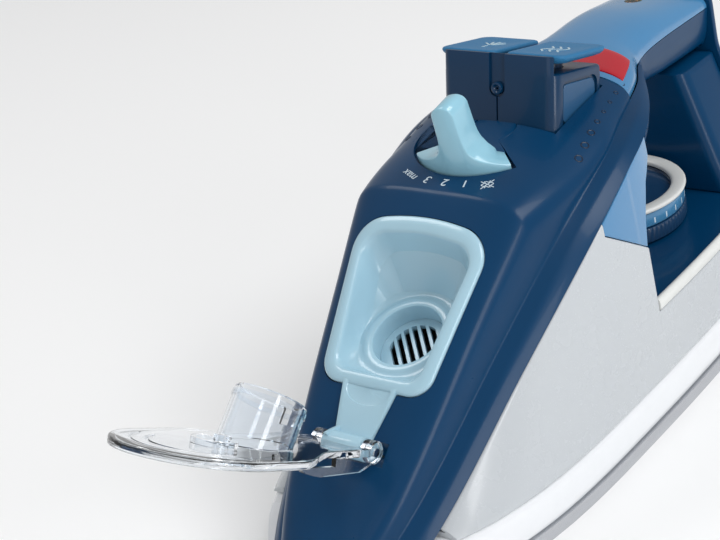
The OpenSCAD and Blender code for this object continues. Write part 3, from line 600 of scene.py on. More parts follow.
leverCut = {"radius": 29, "halfSpan": 46, "sweep": 44, "pocket": 3, "spindle": 3.3}


def sector(outer, inner, start, end, low, high, n=48):
    ring = [polar(outer, rad(a)) for a in spread(start, end, n)] + [polar(inner, rad(a)) for a in spread(end, start, n)]
    return prism(ring, low, high)


def makeCover():
    ys = spread(-144, -112, 18) + spread(-110, -30, 34) + spread(-28, -25.4, 6) + spread(-24, 84, 46)
    ob = makeObject("frontCover", skinned([coverRow(y) for y in ys]))
    radius, half, sweep, deep, spindle = leverCut.values()
    handleEnd = [(-along(body["handleSide"], y) - 0.3, y) for y in spread(56, 90, 30)]
    handleEnd += [(along(body["handleSide"], y) + 0.3, y) for y in spread(90, 56, 30)]
    return carve(ob,
        tool(prism(rimOutline(body["seam"]), -12, 28), panelPlace),
        tool(prism(tongueOutline(body["seam"]), -9, 28), panelPlace),
        tool(across(rod(5.2, -15, 15)), hingePlace),
        tool(sector(radius + 1, 9, -90 - half - sweep - 3, -90 + half + 3, -deep, 17), leverPlace),
        tool(rod(10, -deep, 27), leverPlace),
        tool(rod(spindle, -8, 22), leverPlace),
        blockRoom(25.5, 33.3),
        tool(prism(handleEnd, 100, 160)))


def makeTip():
    ends = ((-146.9, 0.35), (-146.4, 0.7), (-145.4, 0.9), (-144, 1.0), (-141.5, 1.0))
    rows = [[(x, y, z) for x, _, z in coverRow(-144, share, True)] for y, share in ends]
    return makeObject("coverTip", skinned(rows))


def makePocket():
    # floor of the recess that the lever sweeps over
    floor = -leverCut["pocket"]
    ob = makeObject("leverPocket", rod(leverCut["radius"] + 3, floor - 2.4, floor, 96), leverPlace)
    under = [coverRow(y, 1, True) + [(edgeX(y), y, 200), (-edgeX(y), y, 200)] for y in spread(-30, 56, 40)]
    return carve(ob, blockRoom(25.5, 33.3), tool(rod(leverCut["spindle"], -20, 22), leverPlace), tool(skinned(under)))


piece(makeCover(), "navy", "housing", "nose_cover", sharp=28)
piece(makeTip(), "navy", "housing")
piece(makePocket(), "navy", "housing")
print("front cover made")


# filler: bezel, tongue and the clear lid

bowl = {
    "sunk": -2.5, "flat": 1.0, "neckRadius": 13.2, "seatRadius": 17.0, "segments": 144, "floor": -12.5, "closing": 1.37,
}


def rise(u, v):
    # Height of the cover over the panel's plane at (u, v); closing is how fast the gap shrinks along the panel's normal
    t = 0.0
    for step in range(7):
        p = panelPlace @ Vector((u, v, t))
        t -= (p.z - coverZ(p.x, p.y)) / bowl["closing"]
    return t


def makeBezel():
    c, n = bezelRim["centre"], bowl["segments"]
    lines = {d: rimOutline(d) for d in (0, -0.25, -0.8, -2.5)}
    mouths = {d: rimOutline(d, bezelRim["rim"], 2, (9, 70, 6)) for d in (2.5, 0.9, 0.25, -0.35)}
    toPanel = panelPlace.inverted() @ neckPlace
    neck, seatR, floor, top = (bowl[k] for k in ("neckRadius", "seatRadius", "floor", "flat"))
    neckLine = ((seatR, 0.15), (16.5, 0.5), (14.1, 0.5), (13.5, 0.2), (neck, -0.5), (neck, floor), (neck + 1.8, floor),
                (neck + 2.2, -3), (seatR + 1, -2.4))
    at = lambda q, dz: (q.x, q.y, rise(q.x, q.y) + dz)
    rows = []
    for k in range(n):
        a = 2 * pi * k / n
        o = {d: ray(line, a, c) for d, line in lines.items()}
        m = {d: ray(line, a, c) for d, line in mouths.items()}
        inNeck = lambda r, z: toPanel @ Vector((*polar(r, a), z))
        row = [at(o[0], bowl["sunk"]), at(o[0], 0.15), at(o[-0.25], 0.7), at(o[-0.8], top),
               at((o[-0.8] + m[0.9]) / 2, top + 0.1), at(m[0.9], top), at(m[0.25], top - 0.35)]
        start, seat = Vector(at(m[-0.35], -0.5)), inNeck(seatR + 1.6, 0)
        row.append(tuple(start))
        # the bowl's wall bends from the mouth down to the seat of the neck ring
        for s in (0.12, 0.28, 0.46, 0.64, 0.8, 0.92, 1.0):
            inward, sink = 0.35 * s + 0.65 * s ** 1.6, sin(s * pi / 2) ** 1.15
            row.append(tuple(q + (e - q) * f for q, e, f in zip(start, seat, (inward, inward, sink))))
        row += [tuple(inNeck(r, z)) for r, z in neckLine]
        low = m[2.5]
        under = rise(low.x, low.y) - 2.4
        row += [(low.x, low.y, min(under, -3.2) if low.y < 20 else under), at(o[-2.5], bowl["sunk"] - 0.6)]
        rows.append(row)
    return makeObject("fillerBezel", skinned(rows, closed=True), panelPlace)


def makeTongue():
    ob = makeObject("fillerTongue", prism(tongueOutline(), -3, 0.9), panelPlace)
    fuse(ob, tool(across(rod(4.2, -8, 8, 48)), hingePlace))
    saddle = turnedShape([(0.001, 0.15), (9.2, 0.45), (9.9, 1.4), (0.001, 1.4)], 72)
    carve(ob, tool(across(rod(1.57, -9, 9, 32)), hingePlace),
          tool(saddle, panelPlace @ moved(0, -31.5, 0) @ Matrix.Diagonal((1, 0.62, 1, 1))))
    fin = [(-52, 0.4), (-45.9, 0.4), (-48.4, 4.5), (-50.6, 7.4), (-51.2, 7.4)]
    fuse(ob, tool(inYZ(fin, (-7.4, -6.2)), panelPlace))
    return rounding(ob, 0.5, 2, 40)


lidShape = {
    "half": 13.2, "endRadius": 28.5, "length": 105, "thick": 2.8, "earIn": 8.5, "earRadius": 4.0, "tube": 12.5,
    "tubeIn": 11.0,
}


def lidOutline():
    h, e, l, q = (lidShape[k] for k in ("half", "endRadius", "length", "earIn"))
    right = [(e, l, e - 0.2), (e, 56, 14), (h + 3, 33, 14), (h, 2, 1), (q, 2, 0.5), (q, 7, 2)]
    return mirrored(right, 14, 4)


def makeLid():
    s, t = lidShape, lidShape["thick"] / 2
    ob = makeObject("fillerLid", prism(lidOutline(), -t, t), lidPlace)
    rounding(ob, 0.55, 3, 50)
    # dished inside its rim on the outer face; hinge ears, side walls, a tube and a pull loop on the inner one
    inside = mirrored([(25.6, 102.4, 25.4), (25.6, 56, 14), (16.5, 22, 6)], 14, 3)
    ears = ((s["earIn"], s["half"]), (-s["half"], -s["earIn"]))
    wall = [(0, t - 0.3), (1.5, 3.9), (8, 6.6), (30, 7.6), (38, 6.2), (46, t - 0.3)]
    add = [tool(across(rod(s["earRadius"], *ends, 48, 0.4)), lidPlace) for ends in ears]
    add += [tool(inYZ(wall, (side * (s["half"] - 2), side * s["half"])), lidPlace) for side in (1, -1)]
    tube = tool(rod(s["tube"], -3, 30, 96, 0.6), tubePlace)
    carve(tube, tool(prism(box(-30, -40, 30, 140), t - 0.5, 60), lidPlace))
    loopPlace = lidPlace @ moved(0, 66, 0)
    loop = tool(prism(mirrored([(8, 0, 2), (8, 11, 7.5)]), -3.4, -t + 0.3), loopPlace)
    carve(loop, tool(prism(mirrored([(6.4, 1.6, 1), (6.4, 9.4, 6)]), -5, -t + 0.3), loopPlace))
    fuse(ob, *add, tube, tool(prism(box(-2.2, -1.8, 2.2, 1.8), -4.5, -t + 0.3), loopPlace), loop)
    bore = tool(rod(s["tubeIn"], -4, 40, 96), tubePlace)
    carve(bore, tool(prism(box(-30, -40, 30, 140), -t, 80), lidPlace))
    grooves = [tool(sector(r + w, r - w, 12, 168, -t - 0.6, -t + 0.55, 64), lidPlace @ moved(0, 75.5, 0))
               for r, w in ((17.4, 0.7), (22.6, 0.45))]
    pin = tool(across(rod(1.56, -20, 20, 32)), lidPlace)
    return carve(ob, bore, tool(prism(inside, t - 0.7, t + 3), lidPlace), pin,
                 tool(prism(box(-2, -20, 2, -8), -8, 3), tubePlace), *grooves)


piece(makeBezel(), "ice", "housing", "filler_bezel", sharp=40)
piece(makeTongue(), "ice", "housing")
piece(makeLid(), "clear", "lid", "filler_lid", sharp=30)
print("filler made")


# lower body: skirt, tank and side inserts

dialPlace, valvePlace = moved(0, 84, 0), moved(0, 18.39, 0)


def soleWidth(y):
    w, h = body["widest"], body["soleHalf"]
    if y < w:
        return h * (1 - ((w - y) / (body["noseReach"] + w)) ** 3.8)
    t = (y - w) / (body["heelReach"] - w)
    return h * (1 - 0.1 * t * t) * sqrt(max(0, 1 - t ** 12))


def soleOutline(d=0.0, a=-150, b=140, n=110):
    lo, hi = max(a, -body["noseReach"] + d), min(b, body["heelReach"] - d)
    ys = [lo + (hi - lo) * (1 - cos(pi * i / n)) / 2 for i in range(n + 1)]
    # the inset grows towards the nose
    right = [(max(0.2, soleWidth(y) - d * (1 + 0.35 * max(0, -y - 60) / 90)), y) for y in ys]
    return right + [(-x, y) for x, y in reversed(right)]


def flankLow(y):
    return soleWidth(y) - 1


def flankTop(y):
    w = body["widest"]
    return edgeX(y) if y < w else flankLow(y) - 5


def flankX(y, z):
    low, high = body["skirtTop"] + body["seam"], edgeZ(min(y, body["widest"]))
    s = (z - low) / (high - low)
    return flankLow(y) + (flankTop(y) - flankLow(y)) * s + 2.5 * s * (1 - s)


def tankTop(y):
    if y < -1.5:
        return edgeZ(y) - body["seam"]
    if y < 25:
        return lookup(y, body["insertLow"]) - body["seam"]
    return body["deck"] - 3.3


def shaftBores():
    # tools for the bores round the dial's shaft and the valve's spindle
    return tool(rod(5, 0, 60), dialPlace), tool(rod(3.9, 0, 60), valvePlace)


def makeSkirt():
    profile = ((5, 2.0), (5.6, 1.3), (7, 0.9), (10, 0.75), (14, 0.8), (17, 1.1), (19, 1.9), (19.7, 2.6), (20, 3.4))
    ob = makeObject("soleSkirt", layered(lambda d: soleOutline(d, -145, 137), profile))
    over = [(-102.5, 60)] + [(y, edgeZ(y) - body["seam"]) for y in spread(-102.5, -144, 24)] + [(-159, 6.2), (-159, 60)]
    return carve(ob, tool(prism(soleOutline(3.2, -92, 134.6), 4, 18)), tool(inYZ(over, (-62, 62))), *shaftBores())


def tankRow(y, n=28):
    lo, hi = body["skirtTop"] + body["seam"], tankTop(y)
    zs = [lo, lo + 0.25, lo + 0.9] + spread(lo + 2, hi - 1.2, n) + [hi - 0.3, hi]
    ease = {0: 0.8, 1: 0.35, 2: 0.05, len(zs) - 2: 0.05, len(zs) - 1: 0.35}
    out = [(flankX(y, z) - ease.get(i, 0), z) for i, z in enumerate(zs)]
    inn = [(flankX(y, max(z, lo + 2)) - 2.2, max(z, lo + 2)) for z in zs]
    left = [(-x, z) for x, z in out[::-1]]
    return atY(left + out + inn[::-1] + [(-x, z) for x, z in inn], y)


ys = spread(-98.5, -1.51, 40) + spread(-1.49, 24.9, 16) + [25.1] + spread(27, 125, 40)
tank = makeObject("waterTank", skinned([tankRow(y) for y in ys]))
carve(tank, *shaftBores())
piece(tank, "tank", "housing", "water_tank", sharp=30)
piece(makeSkirt(), "skirt", "housing", "sole_skirt", sharp=30)


def insertRow(y, side, n=14):
    lo, hi = lookup(y, body["insertLow"]), edgeZ(y) - body["seam"]
    w = body["widest"]
    wide = lambda z: flankX(y, z) if y < w else edgeX(y) + flankX(w, z) - flankTop(w - 0.01)
    zs = [lo, lo + 0.15, lo + 0.5] + spread(lo + (hi - lo) * 0.08 + 0.4, hi - 0.9, n) + [hi - 0.2, hi]
    ease = {0: 0.55, 1: 0.2, len(zs) - 1: 0.4, len(zs) - 2: 0.1}
    out = [(wide(z) - ease.get(i, 0), z) for i, z in enumerate(zs)]
    inn = [(x - 2 + ease.get(i, 0), z) for i, (x, z) in enumerate(out)]
    return [(side * x, y, z) for x, z in out + inn[::-1]]


for side, name in ((1, "side_insert_right"), (-1, "side_insert_left")):
    ys = spread(-1.4, 25, 22) + [26, 27.5, 29, 30.5, 32, 33, 34.5, 36, 37.5, 39, 40]
    piece(makeObject(name, skinned([insertRow(y, side) for y in ys])), "midBlue", "housing", name, sharp=35)
print("lower body made")


# handle, its label and its grip

handle = {"start": 56.3, "end": 147.3, "power": 0.8, "lampAt": 122, "wall": 2.4}


def handleHalf(y, d, n=36):
    x = along(body["handleSide"], y) - (0.3 if y < 84 else 0) - d
    z, top, k = along(body["handleSide"], y, 2), along(body["handleRidge"], y) - d, handle["power"]
    return [(x * sin(a) ** k, z + (top - z) * cos(a) ** k) for a in spread(0, pi / 2, n)]


def makeHandle():
    rows = []
    for y in spread(handle["start"], handle["end"] - 0.8, 44) + [handle["end"] - 0.3, handle["end"]]:
        ease = {handle["end"]: 0.5, handle["end"] - 0.3: 0.12}.get(y, 0)
        rows.append(atY(bothSides(handleHalf(y, ease)) + bothSides(handleHalf(y, handle["wall"]))[::-1], y))
    ob = makeObject("handleShell", skinned(rows))
    return carve(ob, tool(rod(3.2, 100, 160), moved(0, handle["lampAt"], 0)), blockRoom(27.7, 35.5))


def makeLabel():
    rows = []
    ends = (59.5, 0.1), (59.7, 0.4), (60.2, 0.55), (73.3, 0.55), (73.8, 0.4), (74, 0.1)
    for y, d in (*ends[:3], *((v, 0.6) for v in spread(61.5, 72, 10)), *ends[3:]):
        out, inn = (handleHalf(y, depth, 90)[:62] for depth in (-d, 0.1))
        edge = (out[-1][0] * 0.5 + inn[-1][0] * 0.5 + 0.25, (out[-1][1] + inn[-1][1]) / 2 - 0.3)
        rows.append(atY(bothSides(out) + [edge] + bothSides(inn)[::-1] + [(-edge[0], edge[1])], y))
    return makeObject("handleLabel", skinned(rows))


def gripRow(y, d=0.0):
    low = y < 84
    x = edgeX(y) - 3 if y < 40.2 else edgeX(y) - 0.4 if low else along(body["handleSide"], y)
    z = (edgeZ(y) if low else along(body["handleSide"], y, 2)) - 0.3
    u = along(body["handleUnder"], y) + d
    half = [(x - d, z), (x - d - 0.8, z - (z - u) * 0.45), (x * 0.86 - d, u + (z - u) * 0.16),
            (x * 0.6 - d * 0.5, u + 0.3), (0, u)]
    return softened(half, {1: 6, 2: 6, 3: 6}, 6)


def makeGrip():
    rows = []
    both = lambda half: [(-x, z) for x, z in half] + half[-2::-1]
    for y in spread(26.3, 40.1, 8) + spread(40.6, 83.9, 24) + spread(84.1, 147.3, 30):
        rows.append(atY(both(gripRow(y)) + both(gripRow(y, 2.4))[::-1], y))
    return makeObject("handleGrip", skinned(rows))


piece(makeHandle(), "midBlue", "housing", "handle_shell", sharp=35)
piece(makeLabel(), "label", "housing", "label_plate", sharp=35)
piece(makeGrip(), "navy", "housing", "handle_grip", sharp=40)
print("handle made")


# steam lever, button block and caps

lever = {
    "outer": 29, "inner": 19, "halfSpan": 46, "low": -2.6, "hubTop": -1.95, "edge": 0.55, "tabLow": 24.2,
    "tabTop": 28.4, "tabHalf": 4.5, "shift": 4.5,
    "wing": [(20.9, 0.5), (16, 2.2), (11, 4.4), (8, 6.4), (6.3, 8.6), (5.4, 11), (4.9, 14), (4.7, 18), (4.6, 21),
             (4.5, 24.2)],
}


def leverLine():
    # one half of the lever seen from the front: along the wing, up the tab and over its round top
    rows = sorted((z, s) for s, z in lever["wing"])
    low, top = lever["tabLow"], lever["tabTop"]
    half = [(along(rows, z), z) for z in spread(0.5, low, 50)]
    half += [(lever["tabHalf"] * cos(rad(a)), low + (top - low) * sin(rad(a))) for a in spread(8, 84, 11)]
    return half + [(0.0, top)]


def makeLever():
    v = lever
    half = leverLine()
    line = [Vector((-s, z)) for s, z in half] + [Vector((s, z)) for s, z in half[-2::-1]]
    middle = (v["outer"] + v["inner"]) / 2 + 2
    section = ((v["inner"], 1.0), (v["inner"] + 0.15, 0.45), (v["inner"] + v["edge"], 0.0), (v["inner"] + 4, 0.0),
               (v["outer"] - 4, 0.0), (v["outer"] - v["edge"], 0.0), (v["outer"] - 0.15, 0.45), (v["outer"], 1.0))

    def at(r, s, z):
        # the tab keeps its width from front to back, the wings follow the arc
        s += v["shift"] * max(0, 1 - abs(s) / 21)
        b = max(0, min(1, (abs(s - v["shift"]) - 5) / 8))
        x = s * (1 - b) + r * sin(s / middle) * b
        return x, -sqrt(r * r - x * x), z

    rows = []
    for i, p in enumerate(line):
        t = (line[min(i + 1, len(line) - 1)] - line[max(i - 1, 0)]).normalized()
        inward = Vector((t.y, -t.x)) * v["edge"]
        row = []
        for r, f in section:
            q = p + inward * f
            row.append(at(r, q.x, max(q.y, v["low"] + 0.2)))
        foot = (p + inward).x
        rows.append(row + [at(v["outer"], foot, v["low"]), at(v["inner"], foot, v["low"])])
    ob = makeObject("steamLever", skinned(rows), leverPlace)
    ends = (-90 - v["halfSpan"] + 3, -90 + v["halfSpan"] - 3)
    arm = tool(sector(v["inner"] + 1, 8, *ends, v["low"], v["hubTop"]), leverPlace)
    hub = tool(rod(9.5, v["low"], v["hubTop"], 64), leverPlace)
    carve(hub, tool(rod(2.62, -8, 8, 32), leverPlace))
    return fuse(ob, arm, hub)


def makeLeverCap():
    # the cover's own skin over the lever's hub, flush with the panel
    c, rows, n = leverCut, [], 240
    for k in range(n):
        a = -90 + 360 * k / n
        inCut = -(c["halfSpan"] + c["sweep"] + 3) <= ((a + 90 + 180) % 360 - 180) <= c["halfSpan"] + 3
        reach = lever["inner"] - 0.45 if inCut else 9.7
        section = ((0.01, 0), (5, 0), (reach * 0.7, 0), (reach - 0.8, 0), (reach - 0.25, -0.1), (reach, -0.3),
                   (reach, -0.55), (reach - 0.4, -0.65), (5, -0.65), (0.01, -0.65))
        row = []
        for r, d in section:
            p = leverPlace @ Vector((*polar(r, rad(a)), 0))
            row.append((p.x, p.y, coverZ(p.x, p.y) + d))
        rows.append(row)
    return makeObject("leverCap", skinned(rows, closed=True))


piece(makeLeverCap(), "navy", "housing", sharp=40)
piece(makeLever(), "lever", "lever", "steam_lever", sharp=38)

block = {"half": 25.2, "depth": 33, "top": 18.6, "lip": 25.1, "nozzle": 12.1, "cornerRadius": 4.5, "recess": 0.9}


def blockPlan(d=0.0):
    h, r = block["half"] - d, max(1, block["cornerRadius"] - d * 0.8)
    return mirrored([(h, d, r), (h, block["depth"] - d, 2)], 8)


def makeBlock():
    top, nozzle = block["top"], block["nozzle"]
    levels = ((-8, 0.4), (-7.6, 0.1), (0, 0), (top - 1.6, 0), (top - 0.5, 0.3), (top - 0.1, 0.8), (top, 1.5))
    ob = makeObject("buttonBlock", layered(blockPlan, levels), blockPlace)
    notch = mirrored([(3.4, nozzle - 3.2, 3.2), (3.4, 30, 1)], 8, 2)
    cuts = [tool(prism(mirrored([(22.8, 2.4, 3), (22.8, 30.6, 1)], 6), -9, top - 2.8), blockPlace),
            tool(across(rod(2.46, -4, 6, 32)), blockPlace @ moved(0, 0, nozzle) @ turned("Z", 90))]
    cuts += [tool(rod(5.0, 0, 30, 48), blockPlace @ moved(x, 17, 0)) for x in (-12.5, 12.5)]
    cuts += [tool(prism(box(-0.35, -1, 0.35, 0.9), -9, nozzle - 2), blockPlace),
             tool(inXZ(notch, (-2, 1.0)), blockPlace)]
    plan = rounded([(5.5, -1.5, 2.5), (29.5, -1.5, 3.5), (29.5, top - 3.4, 3.5), (5.5, top - 3.4, 2.5)], 8)
    wider = [(y + copysign(0.35, y - 17), z + copysign(0.35, z - 6)) for y, z in plan]
    for side in (1, -1):
        ends = ((block["half"] - block["recess"], plan), (block["half"] + 1, wider))
        cuts.append(tool(skinned([[(side * x, y, z) for y, z in line] for x, line in ends]), blockPlace))
    cuts.append(tool(rod(3.2, -40, 40, 48), leverPlace))
    # front lip that hides the room under the caps
    levels = ((top - 2.5, 0), (block["lip"] - 0.5, 0), (block["lip"] - 0.1, 0.15), (block["lip"], 0.5))
    lip = tool(layered(blockPlan, levels), blockPlace)
    carve(lip, tool(prism(box(-40, 1.3, 40, 50), -20, 40), blockPlace))
    return carve(fuse(ob, lip), *cuts)


piece(makeBlock(), "block", "housing", "button_block", sharp=30)


def makeSidePanelsPaintedLight():
    # a plate set into each side recess, its lighter blue a painted highlight where the block's sides catch the light
    high = block["top"] - 4.4
    plan = rounded([(6.4, -0.4, 2.5), (28.6, -0.4, 3.5), (28.6, high, 3.5), (6.4, high, 2.5)], 8)
    shapes = []
    for side in (1, -1):
        rows = [[(side * (block["half"] - d), y + (14.8 - y) * e, z + (7 - z) * e) for y, z in plan]
                for d, e in ((block["recess"] + 0.3, 0), (0.55, 0), (0.35, 0.02))]
        shapes.append((skinned(rows), blockPlace))
    return makeObject("sidePanelsPaintedLight", joined(*shapes))


piece(makeSidePanelsPaintedLight(), "sidePanelPaintedLight", "housing", sharp=30)


def ribbon(points, width):
    left, right = [], []
    for i, p in enumerate(points):
        a, b = Vector(points[max(i - 1, 0)]), Vector(points[min(i + 1, len(points) - 1)])
        t = (b - a).normalized()
        n = Vector((-t.y, t.x)) * width / 2
        left.append(tuple(Vector(p) + n))
        right.append(tuple(Vector(p) - n))
    return left, right


cap = {"low": 22.1, "high": 25.5, "dish": 0.5, "side": 14.2, "iconRise": 0.15, "iconLine": 0.8}


def capPlan(d):
    x, farX, y, farY = -11.7 + d, 13.2 - d, 1.5 + d, 34 - d
    return rounded([(x, y, 2.5), (farX, y, 4), (farX, farY, 4), (x, farY, 2)], 8)


def makeCap(side):
    lo, hi = cap["low"], cap["high"]
    levels = ((lo, 2.6), (lo + 0.7, 1.0), (lo + 1.5, 0.3), (lo + 2.2, 0), (hi - 0.7, 0), (hi - 0.25, 0.25), (hi, 0.8),
              (hi, 2.2), (hi - cap["dish"], 8))
    place = blockPlace @ Matrix.Diagonal((side, 1, 1, 1)) @ moved(cap["side"], 0, 0)
    return makeObject("sprayCap" if side < 0 else "steamCap", layered(capPlan, levels), place)


def makeCapIcon(side):
    # raised lines on the cap's top: a spray fan or three puffs of steam
    lines = [[(x + 0.9 * sin(y * 1.5), y) for y in spread(-3, 3, 20)] for x in (-2.6, 0, 2.6)]
    if side < 0:
        fan = [rad(g) for g in (-55, -28, 0, 28, 55)]
        lines = [[(r * sin(g), -0.8 + r * cos(g)) for r in (0.5, 4.2)] for g in fan]
        lines.append([(0, -3.4), (0, -1.6)])
    parts, floor = [], cap["high"] - cap["dish"]
    for line in lines:
        left, right = ribbon([(1.3 * x, 1.9 * y) for x, y in line], cap["iconLine"])
        shape = prism(left + right[::-1], floor - 0.1, floor + cap["iconRise"])
        parts.append((shape, blockPlace @ moved(side * cap["side"], 18, 0)))
    return makeObject("sprayIcon" if side < 0 else "steamIcon", joined(*parts))


piece(makeCap(-1), "cap", "spray_key", "spray_button", sharp=30)
piece(makeCap(1), "cap", "steam_key", "steam_button", sharp=30)
piece(makeCapIcon(-1), "ice", "spray_key", sharp=30)
piece(makeCapIcon(1), "ice", "steam_key", sharp=30)
print("controls made")


# temperature dial: knurled skirt, marked band, white rim

dial = {"low": 50.8, "radius": 33, "knurlTop": 57.2, "bandLow": 57.8, "bandTop": 63.6, "teeth": 90, "marks": 27}


def makeDialBody():
    v, n, rows = dial, dial["teeth"] * 4, []
    r, low, knurl, high = v["radius"] - 0.6, v["low"], v["knurlTop"], v["bandTop"]
    for k in range(n):
        cut = (0.0, 0.35, 0.55, 0.35)[k % 4]
        line = [(0.5, low), (r - 1.2, low), (r - 0.5, low + 0.3), (r - cut, low + 1.1), (r - cut, knurl - 0.9),
                (r - 0.5, knurl - 0.2), (r - 1.0, knurl), (r - 1.5, knurl + 0.2), (r - 1.5, high - 0.4),
                (27.2, high - 0.4), (26.9, high - 1.3), (24, high - 1.5), (0.5, high - 1.1)]
        rows.append([(*polar(q, 2 * pi * k / n), z) for q, z in line])
    return makeObject("dialBody", skinned(rows, closed=True), dialPlace)


def makeDialMarks():
    # bars that grow with the setting
    shapes, last = [], dial["marks"] - 1
    for k in range(dial["marks"]):
        tall = 1.2 + 2.4 * k / last
        place = dialPlace @ turned("Z", -150 + k * 300 / last) @ moved(dial["radius"] - 0.98, 0, dial["bandLow"] + 1.0)
        shapes.append((inYZ([(-0.32, 0), (0.32, 0), (0.36, tall), (-0.36, tall)], (-0.25, 0.06)), place))
    return makeObject("dialMarks", joined(*shapes))


piece(makeDialBody(), "dialNavy", "dial", "temperature_dial", sharp=38)
low, high = dial["bandLow"], dial["bandTop"]
bandRing = turnedShape([(31.2, low), (31.9, low + 0.15), (32.05, low + 0.5), (32.05, high - 0.5), (31.9, high - 0.1),
                        (31.2, high)], 128)
piece(makeObject("dialBand", bandRing, dialPlace), "dialBand", "dial", sharp=40)
piece(makeDialMarks(), "paint", "dial")
rimRing = turnedShape([(27, 63.9), (32.3, 63.9), (32.8, 64.1), (33, 64.6), (33, 65.0), (32.7, 65.5), (32, 65.8),
                       (28.4, 65.8), (27.4, 65.4), (27, 64.8)], 128)
piece(makeObject("dialRim", rimRing, dialPlace), "whitePart", "dial", "dial_rim", sharp=40)


# deck under the dial, heel, rear post and the plate that the iron stands on

def makeDeckRim(side):
    # the section as (x, z) from the flank, with each point's shift and drop where the rim is eased at its ends
    section = ((-2.98, 0.02, 1, 0), (-0.2, 0.02, -1, 0), (0, 0.3, -1, 0), (-0.05, 2.6, -1, 0), (-0.3, 3.7, -1, 1),
               (-0.9, 4.3, 0, 1), (-1.6, 4.5, 0, 1), (-2.3, 4.3, 0, 1), (-2.8, 3.8, 1, 1), (-2.98, 3.2, 1, 0))
    ends = {26.3: 0.35, 26.45: 0.08, 124.75: 0.08, 124.9: 0.35}
    rows = []
    for y in [26.3, 26.45] + spread(27, 124.2, 40) + [124.75, 124.9]:
        z, ease = body["deck"] - 3, ends.get(y, 0)
        x = flankX(y, z)
        rows.append([(side * (x + dx + ease * shift), y, z + dz - ease * drop) for dx, dz, shift, drop in section])
    return skinned(rows), None


piece(makeObject("deckRim", joined(makeDeckRim(1), makeDeckRim(-1))), "whitePart", "housing", "deck_rim", sharp=40)


def heelOutline(d):
    return mirrored([(flankLow(125) - d, 125.3 + d * 0.5, 1), (40 - d, 147.59 - d * 0.5, 8)])


heelLevels = ((20.3, 0.7), (20.6, 0.25), (21.2, 0), (47.6, 0), (48.9, 0.3), (49.7, 1.0), (50, 2.0))
heel = makeObject("rearCover", layered(heelOutline, heelLevels))
carve(heel, tool(prism(mirrored([(48.6, 128, 2), (37, 145, 5)]), 19, 47.4)))
piece(heel, "navy", "housing", "rear_cover", sharp=30)

post = {"low": 50.3, "high": 101.7, "wide": 38, "narrow": 21, "front": 119.5, "back": 147.3}


def postOutline(z):
    low, high = post["low"], post["high"]
    ease = 0.4 if z in (low, high) else 0
    w = post["wide"] + (post["narrow"] - post["wide"]) * (z - low) / (high - low) - ease
    return mirrored([(w, post["front"] + ease, 6), (w, post["back"] - ease, 2)])


levels = [post["low"]] + spread(post["low"] + 0.4, post["high"] - 0.4, 24) + [post["high"]]
postShape = layered(postOutline, [(z, z) for z in levels])
piece(makeObject("rearPost", postShape), "navy", "housing", "rear_post", sharp=40)

plateFaces = (147.6, 150)
gland = {"height": 114.9, "drum": 8, "half": 7, "bore": 3.6, "stem": 15, "y": 148.8}
glandPlace, backwards = moved(0, gland["y"], gland["height"]), turned("X", -90)
plan = mirrored([(40, 2, 3), (40, 50, 20), (22.5, 104, 30), (21, 133, 12)], 12)
plate = makeObject("backPlate", inXZ(plan, plateFaces))
rounding(plate, 0.6, 3, 50)
fuse(plate, tool(inXZ(box(-10, 105.9, 10, 123.9), (144.9, 149.4))))
socket = gland["half"] + 0.06
carve(plate, tool(rod(gland["drum"] + 0.06, -socket, socket, 64), glandPlace))
piece(plate, "navy", "housing", "back_plate", sharp=30)

drum = makeObject("cordGland", rod(gland["drum"], -gland["half"], gland["half"], 96, 0.3), glandPlace)
r = gland["bore"]
fuse(drum, tool(rod(r + 2, 0, gland["stem"], 64, 0.6), glandPlace @ backwards))
ribs = [turnedShape([(r + 1.5, z), (r + 3, z), (r + 3, z + 1.1), (r + 1.5, z + 1.1)], 48) for z in (9.5, 11.6)]
carve(drum, tool(prism(box(-20, -27, 20, -7), -20, 20), glandPlace), tool(rod(r, -30, 30, 64), glandPlace @ backwards),
      *(tool(rib, glandPlace @ backwards) for rib in ribs))
piece(drum, "grip", "gland", "cord_gland", sharp=35)

footSpots = ((30, 12), (-30, 12), (14, 108), (-14, 108))
feet = [(rod(4, 0, 1.5, 48, 0.5), moved(x, plateFaces[1], z) @ backwards) for x, z in footSpots]
piece(makeObject("heelFeet", joined(*feet)), "foot", "housing", "heel_feet", sharp=50)

screwPlaces = [moved(x, plateFaces[1], z) @ backwards for z in (60, 92) for x in (12, -12)]
screws = makeObject("coverScrews", joined(*[(rod(3.2, 0, 0.8, 48, 0.25), place) for place in screwPlaces]))
slot = prism(box(-1.9, -0.35, 1.9, 0.35), 0.3, 2)
crosses = [tool(slot, place @ turned("Z", spin)) for place in screwPlaces for spin in (20, 110)]
piece(carve(screws, *crosses), "steel", "housing", "cover_screws", sharp=30)

lampTop = along(body["handleRidge"], handle["lampAt"]) - 5
dome = [(0.01, 0), (3, 0), (3, 3.4), (4.4, 3.6), (4.4, 5.0), (4.2, 5.5), (3.4, 5.9), (2, 5.9), (0.01, 5.9)]
lens = makeObject("indicatorLens", turnedShape(dome, 64), moved(0, handle["lampAt"], lampTop - 0.9))
piece(lens, "lamp", "housing", "indicator_lens", sharp=50)

nozzlePlace = blockPlace @ moved(0, 2.4, block["nozzle"]) @ turned("X", 90)
nozzleShape = turnedShape([(0.5, -5), (3.4, -5), (3.4, 0), (2.4, 0), (2.4, 2.5), (2.2, 3.0), (1.6, 3.2), (1.1, 2.9),
                           (0.8, 2.4), (0.5, 2.4)], 48)
piece(makeObject("sprayNozzle", nozzleShape, nozzlePlace), "block", "housing", "spray_nozzle", sharp=35)
print("rear parts made")


# dimples on the shoulders, marks of the steam scale

dimples = {"from": (38, 10), "to": (30, 58), "widths": (2.7, 2.7, 2.5, 1.8, 1.1, 1.1, 1.4, 1.6)}


